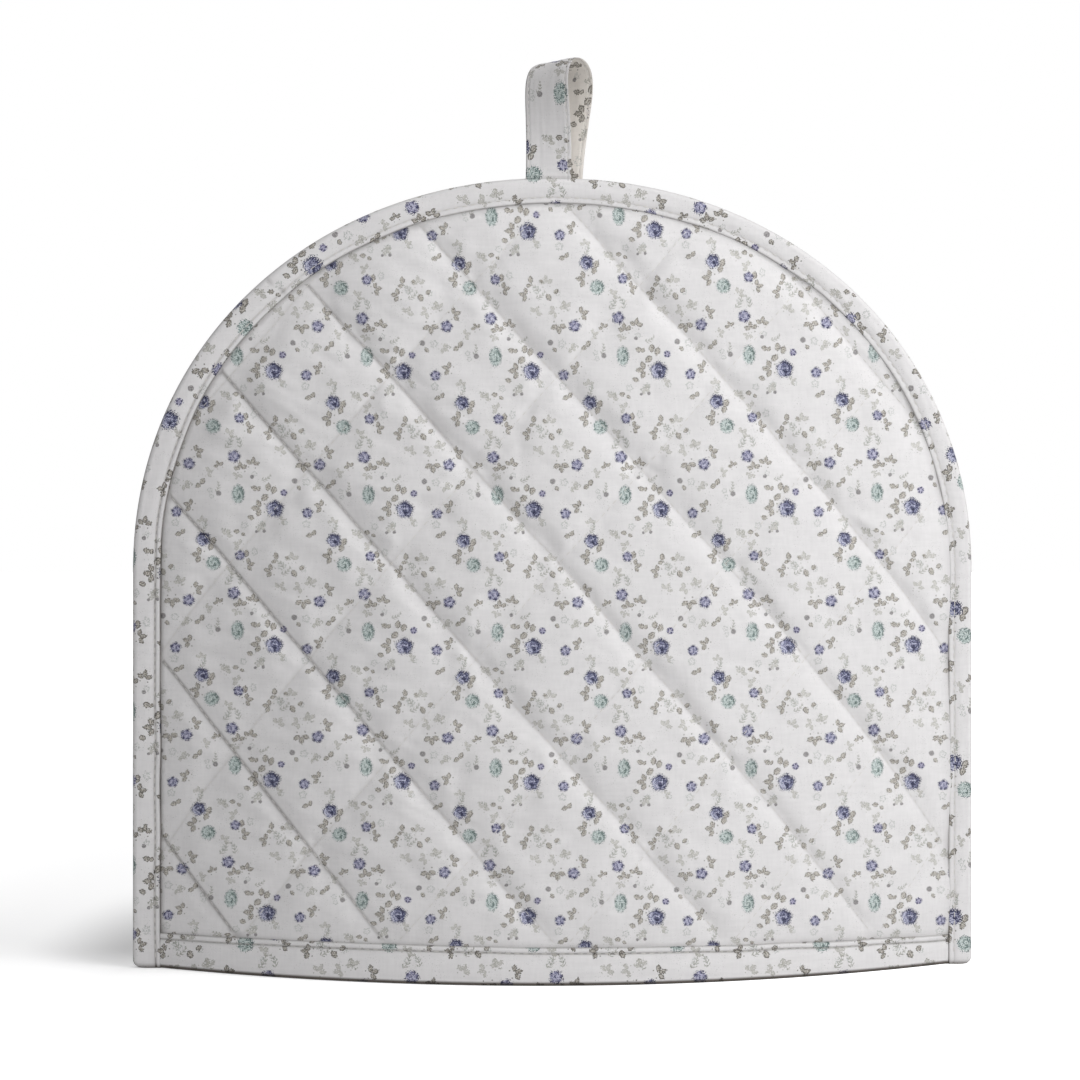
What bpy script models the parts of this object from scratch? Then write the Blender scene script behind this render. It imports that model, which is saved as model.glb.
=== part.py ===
"""A quilted tea cosy with a bound arch, bound hems and a hanging loop.

Metres, +Z up. The cosy stands open on its hem, X across, its front towards
-Y, and the origin lies on the floor under its middle. Each panel is a
function of its place (x, z) in the seam plane, and every strip sewn to a
panel is placed by the same function.
"""

import math

import bmesh
import bpy
from mathutils import Vector
from mathutils.geometry import delaunay_2d_cdt

# The arch: the bound edge's outer outline in the seam plane, y = 0.
HALF_WIDTH = 0.160  # from the middle to the outer edge of the binding
SIDE_HEIGHT = 0.1500  # where the straight sides turn into the arch
ARCH_RISE = 0.1500  # from there to the top of the binding
ARCH_TOP = SIDE_HEIGHT + ARCH_RISE
ARCH_POWER = 2.075  # 2 is an ellipse, more is squarer at the shoulders
ARCH_STEPS = 32

# How far the cosy stands open.
HEM_DEPTH = 0.0565  # seam plane to the inside of a panel, at the hem's middle
SIDE_CURVE = 1.25  # 1 is a straight wedge seen from the side, more is fuller

# Diamond quilting, straight on the flat cloth. Its lines cross at QUILT_CENTRE.
QUILT_WIDTH = 0.0628  # from corner to corner of a diamond, along the cloth
QUILT_HEIGHT = 0.0704  # from corner to corner, up
QUILT_CENTRE = (0.0005, 0.1530)
PUFF_OUT = 0.0032
PUFF_IN = 0.0012
PUFF_POWER = 0.55  # under 1 the padding rises steeply from its stitched lines
PUFF_MARGIN = 0.010  # over which the padding rises beside a binding
CELL_STEPS = (0.0, 0.14, 0.38, 0.62, 0.86)  # shares of a diamond's side
CELLS_EACH_WAY = 7
POINT_SPACE = 0.0045  # no lattice point lies closer than this to a drawn line
GIRTH_ROUNDS = 12

# Cloth and clearances.
PANEL_EDGE = 0.0020  # a panel where it is sewn flat
CLEARANCE = 0.0003
SLANT_CLEARANCE = 0.0004  # along Y, where a face leans towards X
HALF_SEAM_GAP = 0.00015  # seam plane to each panel, inside the arch binding
TAPE = 0.0011  # a folded binding's cloth
LIP = 0.0022  # from a binding's edge to its stitched groove
LIP_RISE = 0.0007  # how far the lip beyond the stitches stands proud
LIP_TOP = 0.45 * LIP  # where the lip is thickest, from the binding's edge
BAND_RISE = 0.0003  # the flat band's swell between its stitches and its fold
EDGE_DROP = 0.0002  # a cut or folded edge lies this much lower than the band
SIDE_SHARES = (0.27, 0.5, 0.73)  # heights of a panel's points along a straight side

# Arch binding, by its distance in from the arch's outline.
BINDING_LEFT = 0.0103
BINDING_RIGHT = 0.0092
BINDING_SLOT = 0.0013  # how near the outline the slot for the panels reaches
PANEL_INSET = BINDING_SLOT + CLEARANCE
MOUTH_INSET = 0.0107  # where a panel starts to bend away from the seam plane
CROWN_STEPS = ((0.0014, 0.88), (0.0002, 0.62), (0.0, 0.2))  # inset, share of the half thickness
CORNER_RADIUS = 0.0028  # outer corners at the floor

# Hem bindings.
HEM_FOLD = 0.0014  # thickness under the panel's lower edge
PANEL_LIFT = HEM_FOLD + CLEARANCE
HEM_BAND = 0.0139  # height of the band at its middle
HEM_BAND_SLOPE = -0.0064  # it is sewn a little deeper on the left
HEM_BAND_DROP = 0.075  # per metre: it is shallower at both ends
HEM_LINE = 0.0148  # above this the panel is padded
HEM_STEPS = 26
HEM_BAND_MIDDLE = 0.0060  # height of the flat band's swell
HEM_ROUND = 0.0008  # outer corner where the binding turns under
HEM_INNER_END = 0.1464  # the inside layer stops short of the side seams

# Hanging loop.
LOOP_TAPE_WIDTH = 0.0172
LOOP_THICKNESS = 0.0018
LOOP_HEIGHT = 0.0449
LOOP_FOOT = 0.0017  # half the distance between the feet's middles, along Y
LOOP_FULLNESS = 0.0175
LOOP_SKEW = 0.0023  # each foot is sewn this far to its own side
LOOP_LEAN = 0.0018
LOOP_TURN = math.radians(25)
LOOP_TILT = math.radians(7)
LOOP_STEPS = 28
LOOP_RISE_POWER = 0.75  # under 1 the legs leave their feet upright
LOOP_SWELL_POWER = 1.2  # over 1 the legs stay close near their feet
LOOP_EDGE = 0.3 * LOOP_THICKNESS  # softness of the tape's folded edges
LOOK_ROUND = 0.01  # radians to each side, for the direction of the tape

CLOTH_COLOUR = (0.80, 0.79, 0.78, 1.0)
CLOTH_ROUGHNESS = 0.9


def clear_scene():
    """Removes every object of the file that the script runs in."""
    for item in list(bpy.data.objects):
        bpy.data.objects.remove(item, do_unlink=True)


def smooth_step(value):
    """0 below 0, 1 above 1 and a soft rise between."""
    value = min(max(value, 0.0), 1.0)
    return value * value * (3.0 - 2.0 * value)


def arch_radius(x, z, inset):
    """1 on the arch drawn in by inset, less inside it."""
    across = abs(x) / (HALF_WIDTH - inset)
    up = max(z - SIDE_HEIGHT, 0.0) / (ARCH_RISE - inset)
    return (across**ARCH_POWER + up**ARCH_POWER) ** (1.0 / ARCH_POWER)


def half_width(z, inset):
    """Half the width at height z of the arch drawn in by inset."""
    up = max(z - SIDE_HEIGHT, 0.0) / (ARCH_RISE - inset)
    left_over = max(1.0 - up**ARCH_POWER, 0.0)
    return (HALF_WIDTH - inset) * left_over ** (1.0 / ARCH_POWER)


def arch_stations(foot_heights):
    """Places along the arch, as (share of the way, height on a side or None, angle)."""
    left = [(0.0, z, math.pi) for z in foot_heights]
    right = [(1.0, z, 0.0) for z in reversed(foot_heights)]
    over = []
    for step in range(ARCH_STEPS + 1):
        share = step / ARCH_STEPS
        over.append((share, None, math.pi * (1.0 - share)))
    return left + over + right


def arch_point(station, inset):
    """(x, z) at a station of the arch drawn in by inset."""
    _, height, angle = station
    cosine, sine = math.cos(angle), math.sin(angle)
    x = math.copysign(abs(cosine) ** (2.0 / ARCH_POWER), cosine) * (HALF_WIDTH - inset)
    if height is not None:
        return x, height
    return x, SIDE_HEIGHT + abs(sine) ** (2.0 / ARCH_POWER) * (ARCH_RISE - inset)


def bow(z):
    """How far a panel's middle stands out at height z, and half its width there."""
    top = ARCH_TOP - MOUTH_INSET
    depth = HEM_DEPTH * (1.0 - (min(max(z, 0.0), top) / top) ** SIDE_CURVE)
    return depth, half_width(z, MOUTH_INSET)


def bulge(x, z):
    """How far a panel stands out from the seam plane, before its padding."""
    depth, width = bow(z)
    if abs(x) >= width:
        return 0.0
    return depth * (1.0 - (x / width) ** 2)


def girth(x, z):
    """Length of cloth from the middle to x, along the bowed panel at height z."""
    depth, width = bow(z)
    if depth <= 0.0 or width <= 0.0:
        return x
    bend = 2.0 * depth / width**2
    return 0.5 * (x * math.hypot(1.0, bend * x) + math.asinh(bend * x) / bend)


def place_of_girth(length, z):
    """The x whose length of cloth from the middle is given."""
    x = length
    for _ in range(GIRTH_ROUNDS):
        x += length - girth(x, z)
    return x


def quilt_shares(x, z):
    """A place counted in diamonds along both families of stitched lines."""
    up = (z - QUILT_CENTRE[1]) / QUILT_HEIGHT
    across = (girth(x, z) - QUILT_CENTRE[0]) / QUILT_WIDTH
    return up + across, up - across


def padding(x, z):
    """0 on the stitched lines and in the bindings, 1 in a diamond's middle."""
    down_right, up_right = quilt_shares(x, z)
    pillow = abs(math.sin(math.pi * down_right) * math.sin(math.pi * up_right))
    rim = (1.0 - arch_radius(x, z, MOUTH_INSET)) * (HALF_WIDTH - MOUTH_INSET)
    beside = smooth_step(rim / PUFF_MARGIN) * smooth_step((z - HEM_LINE) / PUFF_MARGIN)
    return pillow**PUFF_POWER * beside


def finish(name, mesh_data):
    """Makes an object of a bmesh, with its own cloth material."""
    bmesh.ops.recalc_face_normals(mesh_data, faces=mesh_data.faces)
    mesh = bpy.data.meshes.new(name)
    mesh_data.to_mesh(mesh)
    mesh_data.free()
    mesh.shade_smooth()
    mesh.set_sharp_from_angle(angle=math.radians(40))
    material = bpy.data.materials.new(name)
    material.use_nodes = True
    shader = material.node_tree.nodes["Principled BSDF"]
    shader.inputs["Base Color"].default_value = CLOTH_COLOUR
    shader.inputs["Roughness"].default_value = CLOTH_ROUGHNESS
    shader.inputs["Metallic"].default_value = 0.0
    mesh.materials.append(material)
    item = bpy.data.objects.new(name, mesh)
    bpy.context.scene.collection.objects.link(item)
    return item


def panel_layout():
    """Points of a panel in the seam plane, and the lines that its mesh keeps."""
    points, lines = [], []

    def draw(run):
        first = len(points)
        points.extend(run)
        lines.extend((first + i, first + i + 1) for i in range(len(run) - 1))
        return first, len(points) - 1

    heights = (PANEL_LIFT, HEM_LINE) + tuple(share * SIDE_HEIGHT for share in SIDE_SHARES)
    stations = arch_stations(heights)
    edge_start, edge_end = draw([arch_point(station, PANEL_INSET) for station in stations])
    mouth_start, mouth_end = draw([arch_point(station, MOUTH_INSET) for station in stations])
    reach = HALF_WIDTH - MOUTH_INSET
    hem_xs = [reach * (2.0 * k / HEM_STEPS - 1.0) for k in range(1, HEM_STEPS)]
    for height, left, right in (
        (PANEL_LIFT, mouth_start, mouth_end),
        (HEM_LINE, mouth_start + 1, mouth_end - 1),
    ):
        first, last = draw([(x, height) for x in hem_xs])
        lines.extend(((left, first), (last, right)))
    lines.extend(((edge_start, mouth_start), (mouth_end, edge_end)))
    points.extend(lattice_points())
    return points, lines


def lattice_points():
    """Points along and between the quilting lines, clear of the bindings."""
    found = []
    counts = [cell + share for cell in range(-CELLS_EACH_WAY, CELLS_EACH_WAY) for share in CELL_STEPS]
    for down_right in counts:
        for up_right in counts:
            z = QUILT_CENTRE[1] + QUILT_HEIGHT * (down_right + up_right) / 2.0
            if not HEM_LINE + POINT_SPACE < z < ARCH_TOP - MOUTH_INSET - POINT_SPACE:
                continue
            x = place_of_girth(QUILT_CENTRE[0] + QUILT_WIDTH * (down_right - up_right) / 2.0, z)
            if arch_radius(x, z, MOUTH_INSET + POINT_SPACE) < 1.0:
                found.append((x, z))
    return found


def build_panel(name, side):
    """A quilted panel. side is -1 for the front and 1 for the back."""
    points, lines = panel_layout()
    flat = [Vector(p) for p in points]
    flat, _, faces, *_ = delaunay_2d_cdt(flat, lines, [], 1, 1e-6)
    panel = bmesh.new()
    outer, inner = [], []
    for x, z in flat:
        rise, puff = HALF_SEAM_GAP + bulge(x, z), padding(x, z)
        outer.append(panel.verts.new((x, side * (rise + PANEL_EDGE + PUFF_OUT * puff), z)))
        inner.append(panel.verts.new((x, side * (rise - PUFF_IN * puff), z)))
    for face in faces:
        panel.faces.new([outer[i] for i in face])
        panel.faces.new([inner[i] for i in reversed(face)])
    rim = [edge for edge in panel.edges if edge.is_boundary]
    bmesh.ops.bridge_loops(panel, edges=rim)
    bmesh.ops.triangulate(panel, faces=[f for f in panel.faces if len(f.verts) > 3])
    return finish(name, panel)


def build_fold(name, rings):
    """A folded strip. Each ring holds its outside and its inside as chains of points."""
    strip = bmesh.new()
    made = [[[strip.verts.new(p) for p in chain] for chain in ring] for ring in rings]
    for (out_a, in_a), (out_b, in_b) in zip(made, made[1:]):
        for i in range(len(out_a) - 1):
            strip.faces.new((out_a[i], out_a[i + 1], out_b[i + 1], out_b[i]))
            strip.faces.new((in_a[i + 1], in_a[i], in_b[i], in_b[i + 1]))
        for i in (0, -1):
            strip.faces.new((out_a[i], out_b[i], in_b[i], in_a[i]))
    for outside, inside in (made[0], made[-1]):
        for i in range(len(outside) - 1):
            strip.faces.new((outside[i], outside[i + 1], inside[i + 1], inside[i]))
    bmesh.ops.triangulate(strip, faces=strip.faces)
    return finish(name, strip)


def lip_points(face):
    """The stitched side of a binding: (distance from its edge, height of its face)."""
    return (
        (0.0, face - EDGE_DROP),
        (LIP_TOP, face + LIP_RISE),
        (LIP, face),
    )


def binding_section(width):
    """Half of the arch binding's section: outside and slot points as (inset, y)."""
    slot = HALF_SEAM_GAP + PANEL_EDGE + CLEARANCE
    face = slot + TAPE
    outside = [(width - back, y) for back, y in lip_points(face)]
    outside.append((0.5 * width, face + BAND_RISE))
    outside.extend((inset, share * face) for inset, share in CROWN_STEPS)
    inside = [(max(inset, BINDING_SLOT), min(y, slot)) for inset, y in outside]
    return outside, inside


def corner_trim(station):
    """How far a foot of the arch binding is rounded off at a station."""
    height = station[1]
    if height is None or height >= CORNER_RADIUS:
        return 0.0
    return CORNER_RADIUS - math.sqrt(CORNER_RADIUS**2 - (CORNER_RADIUS - height) ** 2)


def build_arch_binding(name):
    """The strip folded over both panels' edges, from floor to floor."""
    rings = []
    feet = (0.0, 0.3 * CORNER_RADIUS, CORNER_RADIUS, 0.5 * SIDE_HEIGHT)
    for station in arch_stations(feet):
        width = BINDING_LEFT + (BINDING_RIGHT - BINDING_LEFT) * station[0]
        outside, inside = binding_section(width)
        trim = corner_trim(station)
        ring = []
        for half, cut in ((outside, trim), (inside, max(trim - TAPE, 0.0))):
            chain = []
            for side, run in ((-1, half), (1, reversed(half))):
                for inset, y in run:
                    x, z = arch_point(station, inset + cut * (1.0 - inset / width))
                    chain.append((x, side * y, z))
            ring.append(chain)
        rings.append(ring)
    return build_fold(name, rings)


def hem_band(x):
    """Height of the hem's band at x."""
    return HEM_BAND + HEM_BAND_SLOPE * x - HEM_BAND_DROP * x * x


def build_hem_binding(name, side):
    """The strip folded over one panel's lower edge, flat on the floor."""
    slot = PANEL_EDGE + SLANT_CLEARANCE
    face = slot + TAPE
    outer_ends = (
        -(HALF_WIDTH - BINDING_LEFT - CLEARANCE),
        HALF_WIDTH - BINDING_RIGHT - CLEARANCE,
    )
    inner_ends = (-HEM_INNER_END, HEM_INNER_END)
    # Columns: distance out from the panel's inside, height, whether that height
    # counts down from the band's top edge, and whether it is in the outer layer.
    lip = lip_points(face)
    outside = [(out, back, True, True) for back, out in lip] + [
        (face + BAND_RISE, HEM_BAND_MIDDLE, False, True),
        (face, HEM_ROUND, False, True),
        (face - HEM_ROUND, 0.0, False, True),
        (-SLANT_CLEARANCE - TAPE, 0.0, False, False),
        (-SLANT_CLEARANCE - TAPE, 0.0, True, False),
    ]
    inside = [(slot, back, True, True) for back, _ in lip] + [
        (slot, HEM_BAND_MIDDLE, False, True),
        (slot, HEM_FOLD + HEM_ROUND, False, True),
        (slot, HEM_FOLD, False, True),
        (-SLANT_CLEARANCE, HEM_FOLD, False, False),
        (-SLANT_CLEARANCE, 0.0, True, False),
    ]
    rings = []
    for step in range(HEM_STEPS + 1):
        share = step / HEM_STEPS
        ring = []
        for half in (outside, inside):
            chain = []
            for out, height, from_top, outer in half:
                low, high = outer_ends if outer else inner_ends
                x = low + (high - low) * share
                z = hem_band(x) - height if from_top else height
                chain.append((x, side * (HALF_SEAM_GAP + bulge(x, z) + out), z))
            ring.append(chain)
        rings.append(ring)
    return build_fold(name, rings)


def loop_frame(angle):
    """The loop tape's middle point and its width direction, by angle from the front foot."""
    cosine, sine = math.cos(angle), max(math.sin(angle), 0.0)
    foot = ARCH_TOP + CLEARANCE
    rise = sine**LOOP_RISE_POWER
    apart = -cosine * (LOOP_FOOT + (LOOP_FULLNESS - LOOP_FOOT) * sine**LOOP_SWELL_POWER)
    turn = LOOP_TURN * rise
    tilt = LOOP_TILT * sine**2
    middle = Vector((
        LOOP_LEAN * rise - LOOP_SKEW * cosine + apart * math.sin(turn),
        apart * math.cos(turn),
        foot + (LOOP_HEIGHT - LOOP_THICKNESS) * rise,
    ))
    flat = math.cos(tilt)
    across = Vector((math.cos(turn) * flat, -math.sin(turn) * flat, math.sin(tilt)))
    return middle, across


def build_loop(name):
    """The hanging loop, a flat tape bent round from foot to foot."""
    half, thick = LOOP_TAPE_WIDTH / 2.0, LOOP_THICKNESS / 2.0
    flat = half - LOOP_EDGE
    front = [(-half, 0.0), (-flat, -thick), (0.0, -thick), (flat, -thick)]
    section = front + [(-across, -out) for across, out in front]
    loop = bmesh.new()
    rings = []
    for step in range(LOOP_STEPS + 1):
        angle = math.pi / 2.0 * (1.0 - math.cos(math.pi * step / LOOP_STEPS))
        middle, across = loop_frame(angle)
        if step in (0, LOOP_STEPS):
            along = Vector((0.0, 0.0, 1.0 if step == 0 else -1.0))
        else:
            ahead, behind = loop_frame(angle + LOOK_ROUND)[0], loop_frame(angle - LOOK_ROUND)[0]
            along = (ahead - behind).normalized()
        out = along.cross(across).normalized()
        rings.append([loop.verts.new(middle + across * u + out * v) for u, v in section])
    for first, second in zip(rings, rings[1:]):
        for i in range(len(section)):
            k = (i + 1) % len(section)
            loop.faces.new((first[i], first[k], second[k], second[i]))
    for end in (rings[0], rings[-1]):
        loop.faces.new(end)
    bmesh.ops.triangulate(loop, faces=loop.faces)
    return finish(name, loop)


def main():
    """Builds the cosy's six pieces."""
    clear_scene()
    for place, side in (("front", -1), ("back", 1)):
        build_panel(f"{place}_panel", side)
        build_hem_binding(f"hem_binding_{place}", side)
    build_arch_binding("arch_binding")
    build_loop("hanging_loop")


main()
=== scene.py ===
"""The looks of a quilted tea cosy: printed cloth, sewn bindings, a hanging loop and a pale studio.

Metres, +Z up. The cosy's front is towards -Y and its middle over the origin.
"""

from __future__ import annotations

import logging
import math
from dataclasses import dataclass, field
from enum import Enum

import bpy
import numpy as np
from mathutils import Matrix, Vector
from mathutils.geometry import delaunay_2d_cdt

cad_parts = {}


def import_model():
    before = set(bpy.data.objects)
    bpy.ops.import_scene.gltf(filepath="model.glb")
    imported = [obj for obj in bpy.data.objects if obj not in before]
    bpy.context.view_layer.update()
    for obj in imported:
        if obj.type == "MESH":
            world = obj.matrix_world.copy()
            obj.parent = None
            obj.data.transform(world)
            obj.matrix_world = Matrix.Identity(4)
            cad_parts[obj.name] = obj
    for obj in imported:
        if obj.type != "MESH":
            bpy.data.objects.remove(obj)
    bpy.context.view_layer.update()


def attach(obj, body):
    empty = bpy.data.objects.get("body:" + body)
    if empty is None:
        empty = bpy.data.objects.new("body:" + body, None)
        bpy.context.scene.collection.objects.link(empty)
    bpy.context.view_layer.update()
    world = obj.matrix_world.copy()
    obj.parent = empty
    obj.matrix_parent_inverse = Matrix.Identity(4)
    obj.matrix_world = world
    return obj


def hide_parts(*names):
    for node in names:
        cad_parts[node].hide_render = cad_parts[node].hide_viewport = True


LOG = logging.getLogger("tea_cosy")
BODY = "root"
# Its third number is the painted shade in seams, at edges and where the cloth meets the floor.
PLACE = "print_place_and_painted_shade"  # the attribute that says where on the printed cloth a point lies
MILLIMETRE = 0.001

Array = np.ndarray
Faces = list[tuple[int, ...]]
Arrays = tuple[Array, Array]
Lines = list[Arrays]  # each line's points, and the outward direction at each
Floats = tuple[float, ...]
Pair = tuple[float, float]
Rows = tuple[Floats, ...]
Colour = tuple[float, float, float, float]
Piece = bpy.types.Object
Material = bpy.types.Material
Node = bpy.types.Node
Socket = bpy.types.NodeSocket
Value = object  # what a node's socket takes: a number, a tuple of numbers or a Flow


class Side(Enum):
    """The two faces of the cosy, as the sign of Y."""

    FRONT = -1
    BACK = 1


class Slot(Enum):
    """The record's material slots."""

    QUILTED = "quilted_cloth"
    BINDING = "binding_cloth"
    LOOP = "loop_cloth"


# ---- shared shapes


def smooth_step(value: Array) -> Array:
    """0 below 0, 1 above 1 and a soft rise between."""
    value = np.clip(value, 0.0, 1.0)
    return value * value * (3.0 - 2.0 * value)


def bell(distance: Array, reach: Array | float) -> Array:
    """1 at a distance of 0, falling softly towards 0 past the reach."""
    return np.exp(-((distance / reach) ** 2))


def unit(vectors: Array) -> Array:
    """Vectors brought to a length of 1."""
    return vectors / np.linalg.norm(vectors, axis=-1, keepdims=True)


def lengths(line: Array) -> Array:
    """Distance along a line of points, from 0 at its first."""
    steps = np.linalg.norm(np.diff(line, axis=-2), axis=-1)
    return np.concatenate([0.0 * steps[..., :1], np.cumsum(steps, axis=-1)], axis=-1)


def soft_noise(across: Array, up: Array, seed: int, knots: int = 64) -> Array:
    """Smooth random values over a plane.

    Args:
        across: places along one direction, one knot a unit.
        up: places along the other.
        seed: picks the pattern.
        knots: after so many units the pattern repeats.

    Returns:
        A value from -1 to 1 for each place.
    """
    table = np.random.default_rng(seed).uniform(-1.0, 1.0, (knots, knots))
    column, row = np.floor(across).astype(int), np.floor(up).astype(int)
    right, above = smooth_step(across - column), smooth_step(up - row)
    low = table[column % knots, row % knots] * (1.0 - right)
    low = low + table[(column + 1) % knots, row % knots] * right
    high = table[column % knots, (row + 1) % knots] * (1.0 - right)
    high = high + table[(column + 1) % knots, (row + 1) % knots] * right
    return low * (1.0 - above) + high * above


@dataclass(frozen=True)
class Ripple:
    """A layer of soft unevenness beside a seam, with its lengths in millimetres."""

    weight: float
    pitch: float  # from one swell to the next, along the seam
    lean: float  # how many pitches a swell moves along for each millimetre off the seam
    depth: float  # from one swell to the next, away from the seam
    shift: float = 0.0  # sets one seam's pattern apart from the next one's

    def height(self, along: Array, off: Array, line: Array | float, seed: int) -> Array:
        """Its height at each place.

        Args:
            along: distances along the seam.
            off: distances away from it.
            line: the seam's number.
            seed: picks the pattern.

        Returns:
            The heights, from about -1 to 1 times its weight.
        """
        swells = soft_noise(
            along / self.pitch + self.lean * off, off / self.depth + self.shift * line, seed
        )
        return self.weight * swells


@dataclass(frozen=True)
class CosyForm:
    """The cosy's driving sizes, as in its solids, and the surfaces that follow from them."""

    half_width: float = 0.160
    side_height: float = 0.1500
    arch_rise: float = 0.1500
    arch_power: float = 2.075
    hem_depth: float = 0.0565
    side_curve: float = 1.25
    mouth_inset: float = 0.0107
    panel_edge: float = 0.0020
    clearance: float = 0.0003
    half_seam_gap: float = 0.00015
    panel_inset: float = 0.0016
    panel_lift: float = 0.0017
    hem_line: float = 0.0148
    hem_band: float = 0.0139
    hem_slope: float = -0.0064
    hem_drop: float = 0.075
    left_band: float = 0.0108  # depth of the arch binding at its left foot, seen from outside
    right_band: float = 0.0092
    quilt_width: float = 0.0628
    quilt_height: float = 0.0704
    quilt_centre: Pair = (0.0005, 0.1530)
    girth_rounds: int = 12

    @property
    def top(self) -> float:
        """Height of the arch's top."""
        return self.side_height + self.arch_rise

    def arch_radius(self, x: Array, z: Array, inset: float) -> Array:
        """1 on the arch drawn in by inset, less inside it."""
        across = np.abs(x) / (self.half_width - inset)
        up = np.maximum(z - self.side_height, 0.0) / (self.arch_rise - inset)
        return (across**self.arch_power + up**self.arch_power) ** (1.0 / self.arch_power)

    def half_width_at(self, z: Array, inset: float) -> Array:
        """Half the width at height z of the arch drawn in by inset."""
        up = np.maximum(z - self.side_height, 0.0) / (self.arch_rise - inset)
        left_over = np.maximum(1.0 - up**self.arch_power, 0.0)
        return (self.half_width - inset) * left_over ** (1.0 / self.arch_power)

    def bow(self, z: Array) -> Arrays:
        """How far a panel's middle stands out at height z, and half its width there."""
        top = self.top - self.mouth_inset
        depth = self.hem_depth * (1.0 - (np.clip(z, 0.0, top) / top) ** self.side_curve)
        return depth, self.half_width_at(z, self.mouth_inset)

    def bulge(self, x: Array, z: Array) -> Array:
        """How far a panel stands out from the seam plane, before its padding."""
        depth, width = self.bow(z)
        share = np.minimum(np.abs(x) / np.maximum(width, 1e-6), 1.0)
        return depth * (1.0 - share**2)

    def girth(self, x: Array, z: Array) -> Array:
        """Length of cloth from the middle to x, along the bowed panel at height z."""
        depth, width = self.bow(z)
        bend = np.maximum(2.0 * depth / np.maximum(width, 1e-4) ** 2, 1e-6)
        return 0.5 * (x * np.hypot(1.0, bend * x) + np.arcsinh(bend * x) / bend)

    def place_of_girth(self, length: Array, z: Array) -> Array:
        """The x whose length of cloth from the middle is given."""
        x = length.copy()
        for _ in range(self.girth_rounds):
            x = x + length - self.girth(x, z)
        return x

    def quilt_shares(self, x: Array, z: Array) -> Arrays:
        """A place counted in diamonds along both families of stitched lines."""
        up = (z - self.quilt_centre[1]) / self.quilt_height
        across = (self.girth(x, z) - self.quilt_centre[0]) / self.quilt_width
        return up + across, up - across

    def place_of_shares(self, down_right: Array, up_right: Array) -> Arrays:
        """The (x, z) of a place counted in diamonds."""
        z = self.quilt_centre[1] + self.quilt_height * (down_right + up_right) / 2.0
        length = self.quilt_centre[0] + self.quilt_width * (down_right - up_right) / 2.0
        return self.place_of_girth(length, z), z

    def bare_distance(self, x: Array, z: Array) -> Array:
        """About how far a place on the front lies from the arch binding's sewn edge."""
        share = 0.5 + 0.5 * x / self.half_width
        band = self.left_band + (self.right_band - self.left_band) * share
        away = (1.0 - self.arch_radius(x, z, self.mouth_inset)) * (self.half_width - self.mouth_inset)
        return away + self.mouth_inset - band

    def hem_top(self, x: Array) -> Array:
        """Height of the front hem binding's sewn edge."""
        return self.hem_band + self.hem_slope * x - self.hem_drop * x * x


@dataclass(frozen=True)
class ArchWalk:
    """Stations along the arch, from the left foot over the top to the right foot."""

    form: CosyForm
    heights: Floats  # on each straight side, from the foot up
    arch_steps: int

    @property
    def angles(self) -> Array:
        """The arch angle of each station."""
        side = np.zeros(len(self.heights))
        return np.concatenate([side + math.pi, np.linspace(math.pi, 0.0, self.arch_steps + 1), side])

    @property
    def side_heights(self) -> Array:
        """The height of each station, before the arch's own rise."""
        over = np.full(self.arch_steps + 1, self.form.side_height)
        return np.concatenate([self.heights, over, self.heights[::-1]])

    @property
    def shares(self) -> Array:
        """0 on the left side, 1 on the right side and the share of the way over between."""
        return 1.0 - self.angles / math.pi

    def points(self, inset: Array | float) -> Arrays:
        """(x, z) at each station, on the arch drawn in by inset, which may have columns.

        Args:
            inset: one distance, or one for each station, or a row for each.

        Returns:
            The x and the z of each point.
        """
        cosine, sine, height = np.cos(self.angles), np.sin(self.angles).clip(0.0), self.side_heights
        if np.ndim(inset) == 2:
            cosine, sine, height = cosine[:, None], sine[:, None], height[:, None]
        power = 2.0 / self.form.arch_power
        x = np.sign(cosine) * np.abs(cosine) ** power * (self.form.half_width - inset)
        z = height + sine**power * (self.form.arch_rise - inset)
        return x, z

    def outward(self) -> Array:
        """The direction out of the arch at each station, as x and z."""
        (x, z), (inner_x, inner_z) = self.points(0.0), self.points(MILLIMETRE)
        return unit(np.stack([x - inner_x, z - inner_z], axis=1))


@dataclass(frozen=True)
class PrintLay:
    """How a printed cloth lies on the cosy: straight and even when seen from the front."""

    cell: Pair  # the repeat's width and height
    rose: Pair  # one large rose, across from the eye's axis and up from its height
    eye: tuple[float, float, float] = (-0.05055, -1.24898, 0.1620)
    turn: float = 2.07  # degrees, clockwise seen from above: where the eye looks
    reach: float = 1.25  # how far ahead of the eye the cloth's sizes hold
    # How far the cloth strays from an even lay, in metres: constant, by x, z, xx, xz and zz,
    # with x and z from -1 to 1 over the drift's reach.
    drift_across: Floats = (0.0,) * 6
    drift_up: Floats = (0.0,) * 6
    drift_reach: float = 0.1526

    def lay(self, points: Array, mirrored: bool = False) -> Array:
        """Where on the printed cloth each point lies.

        Args:
            points: an array of x, y and z.
            mirrored: True for the back, which is seen from behind.

        Returns:
            Places in repeats of the print, from a large rose, as x, y and 0.
        """
        turned = -1.0 if mirrored else 1.0
        x, y = points[..., 0] * turned - self.eye[0], points[..., 1] * turned - self.eye[1]
        sine, cosine = math.sin(math.radians(self.turn)), math.cos(math.radians(self.turn))
        nearer = self.reach / (y * cosine + x * sine)
        across = (x * cosine - y * sine) * nearer
        up = (points[..., 2] - self.eye[2]) * nearer
        u, v = across / self.drift_reach, up / self.drift_reach
        terms = (1.0, u, v, u * u, u * v, v * v)
        stray_across = sum(factor * term for factor, term in zip(self.drift_across, terms))
        stray_up = sum(factor * term for factor, term in zip(self.drift_up, terms))
        return self.count(across - self.rose[0] - stray_across, up - self.rose[1] - stray_up)

    def count(self, across: Array, up: Array) -> Array:
        """A distance on the cloth, in repeats."""
        return np.stack([across / self.cell[0], up / self.cell[1], 0.0 * across], axis=-1)


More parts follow.
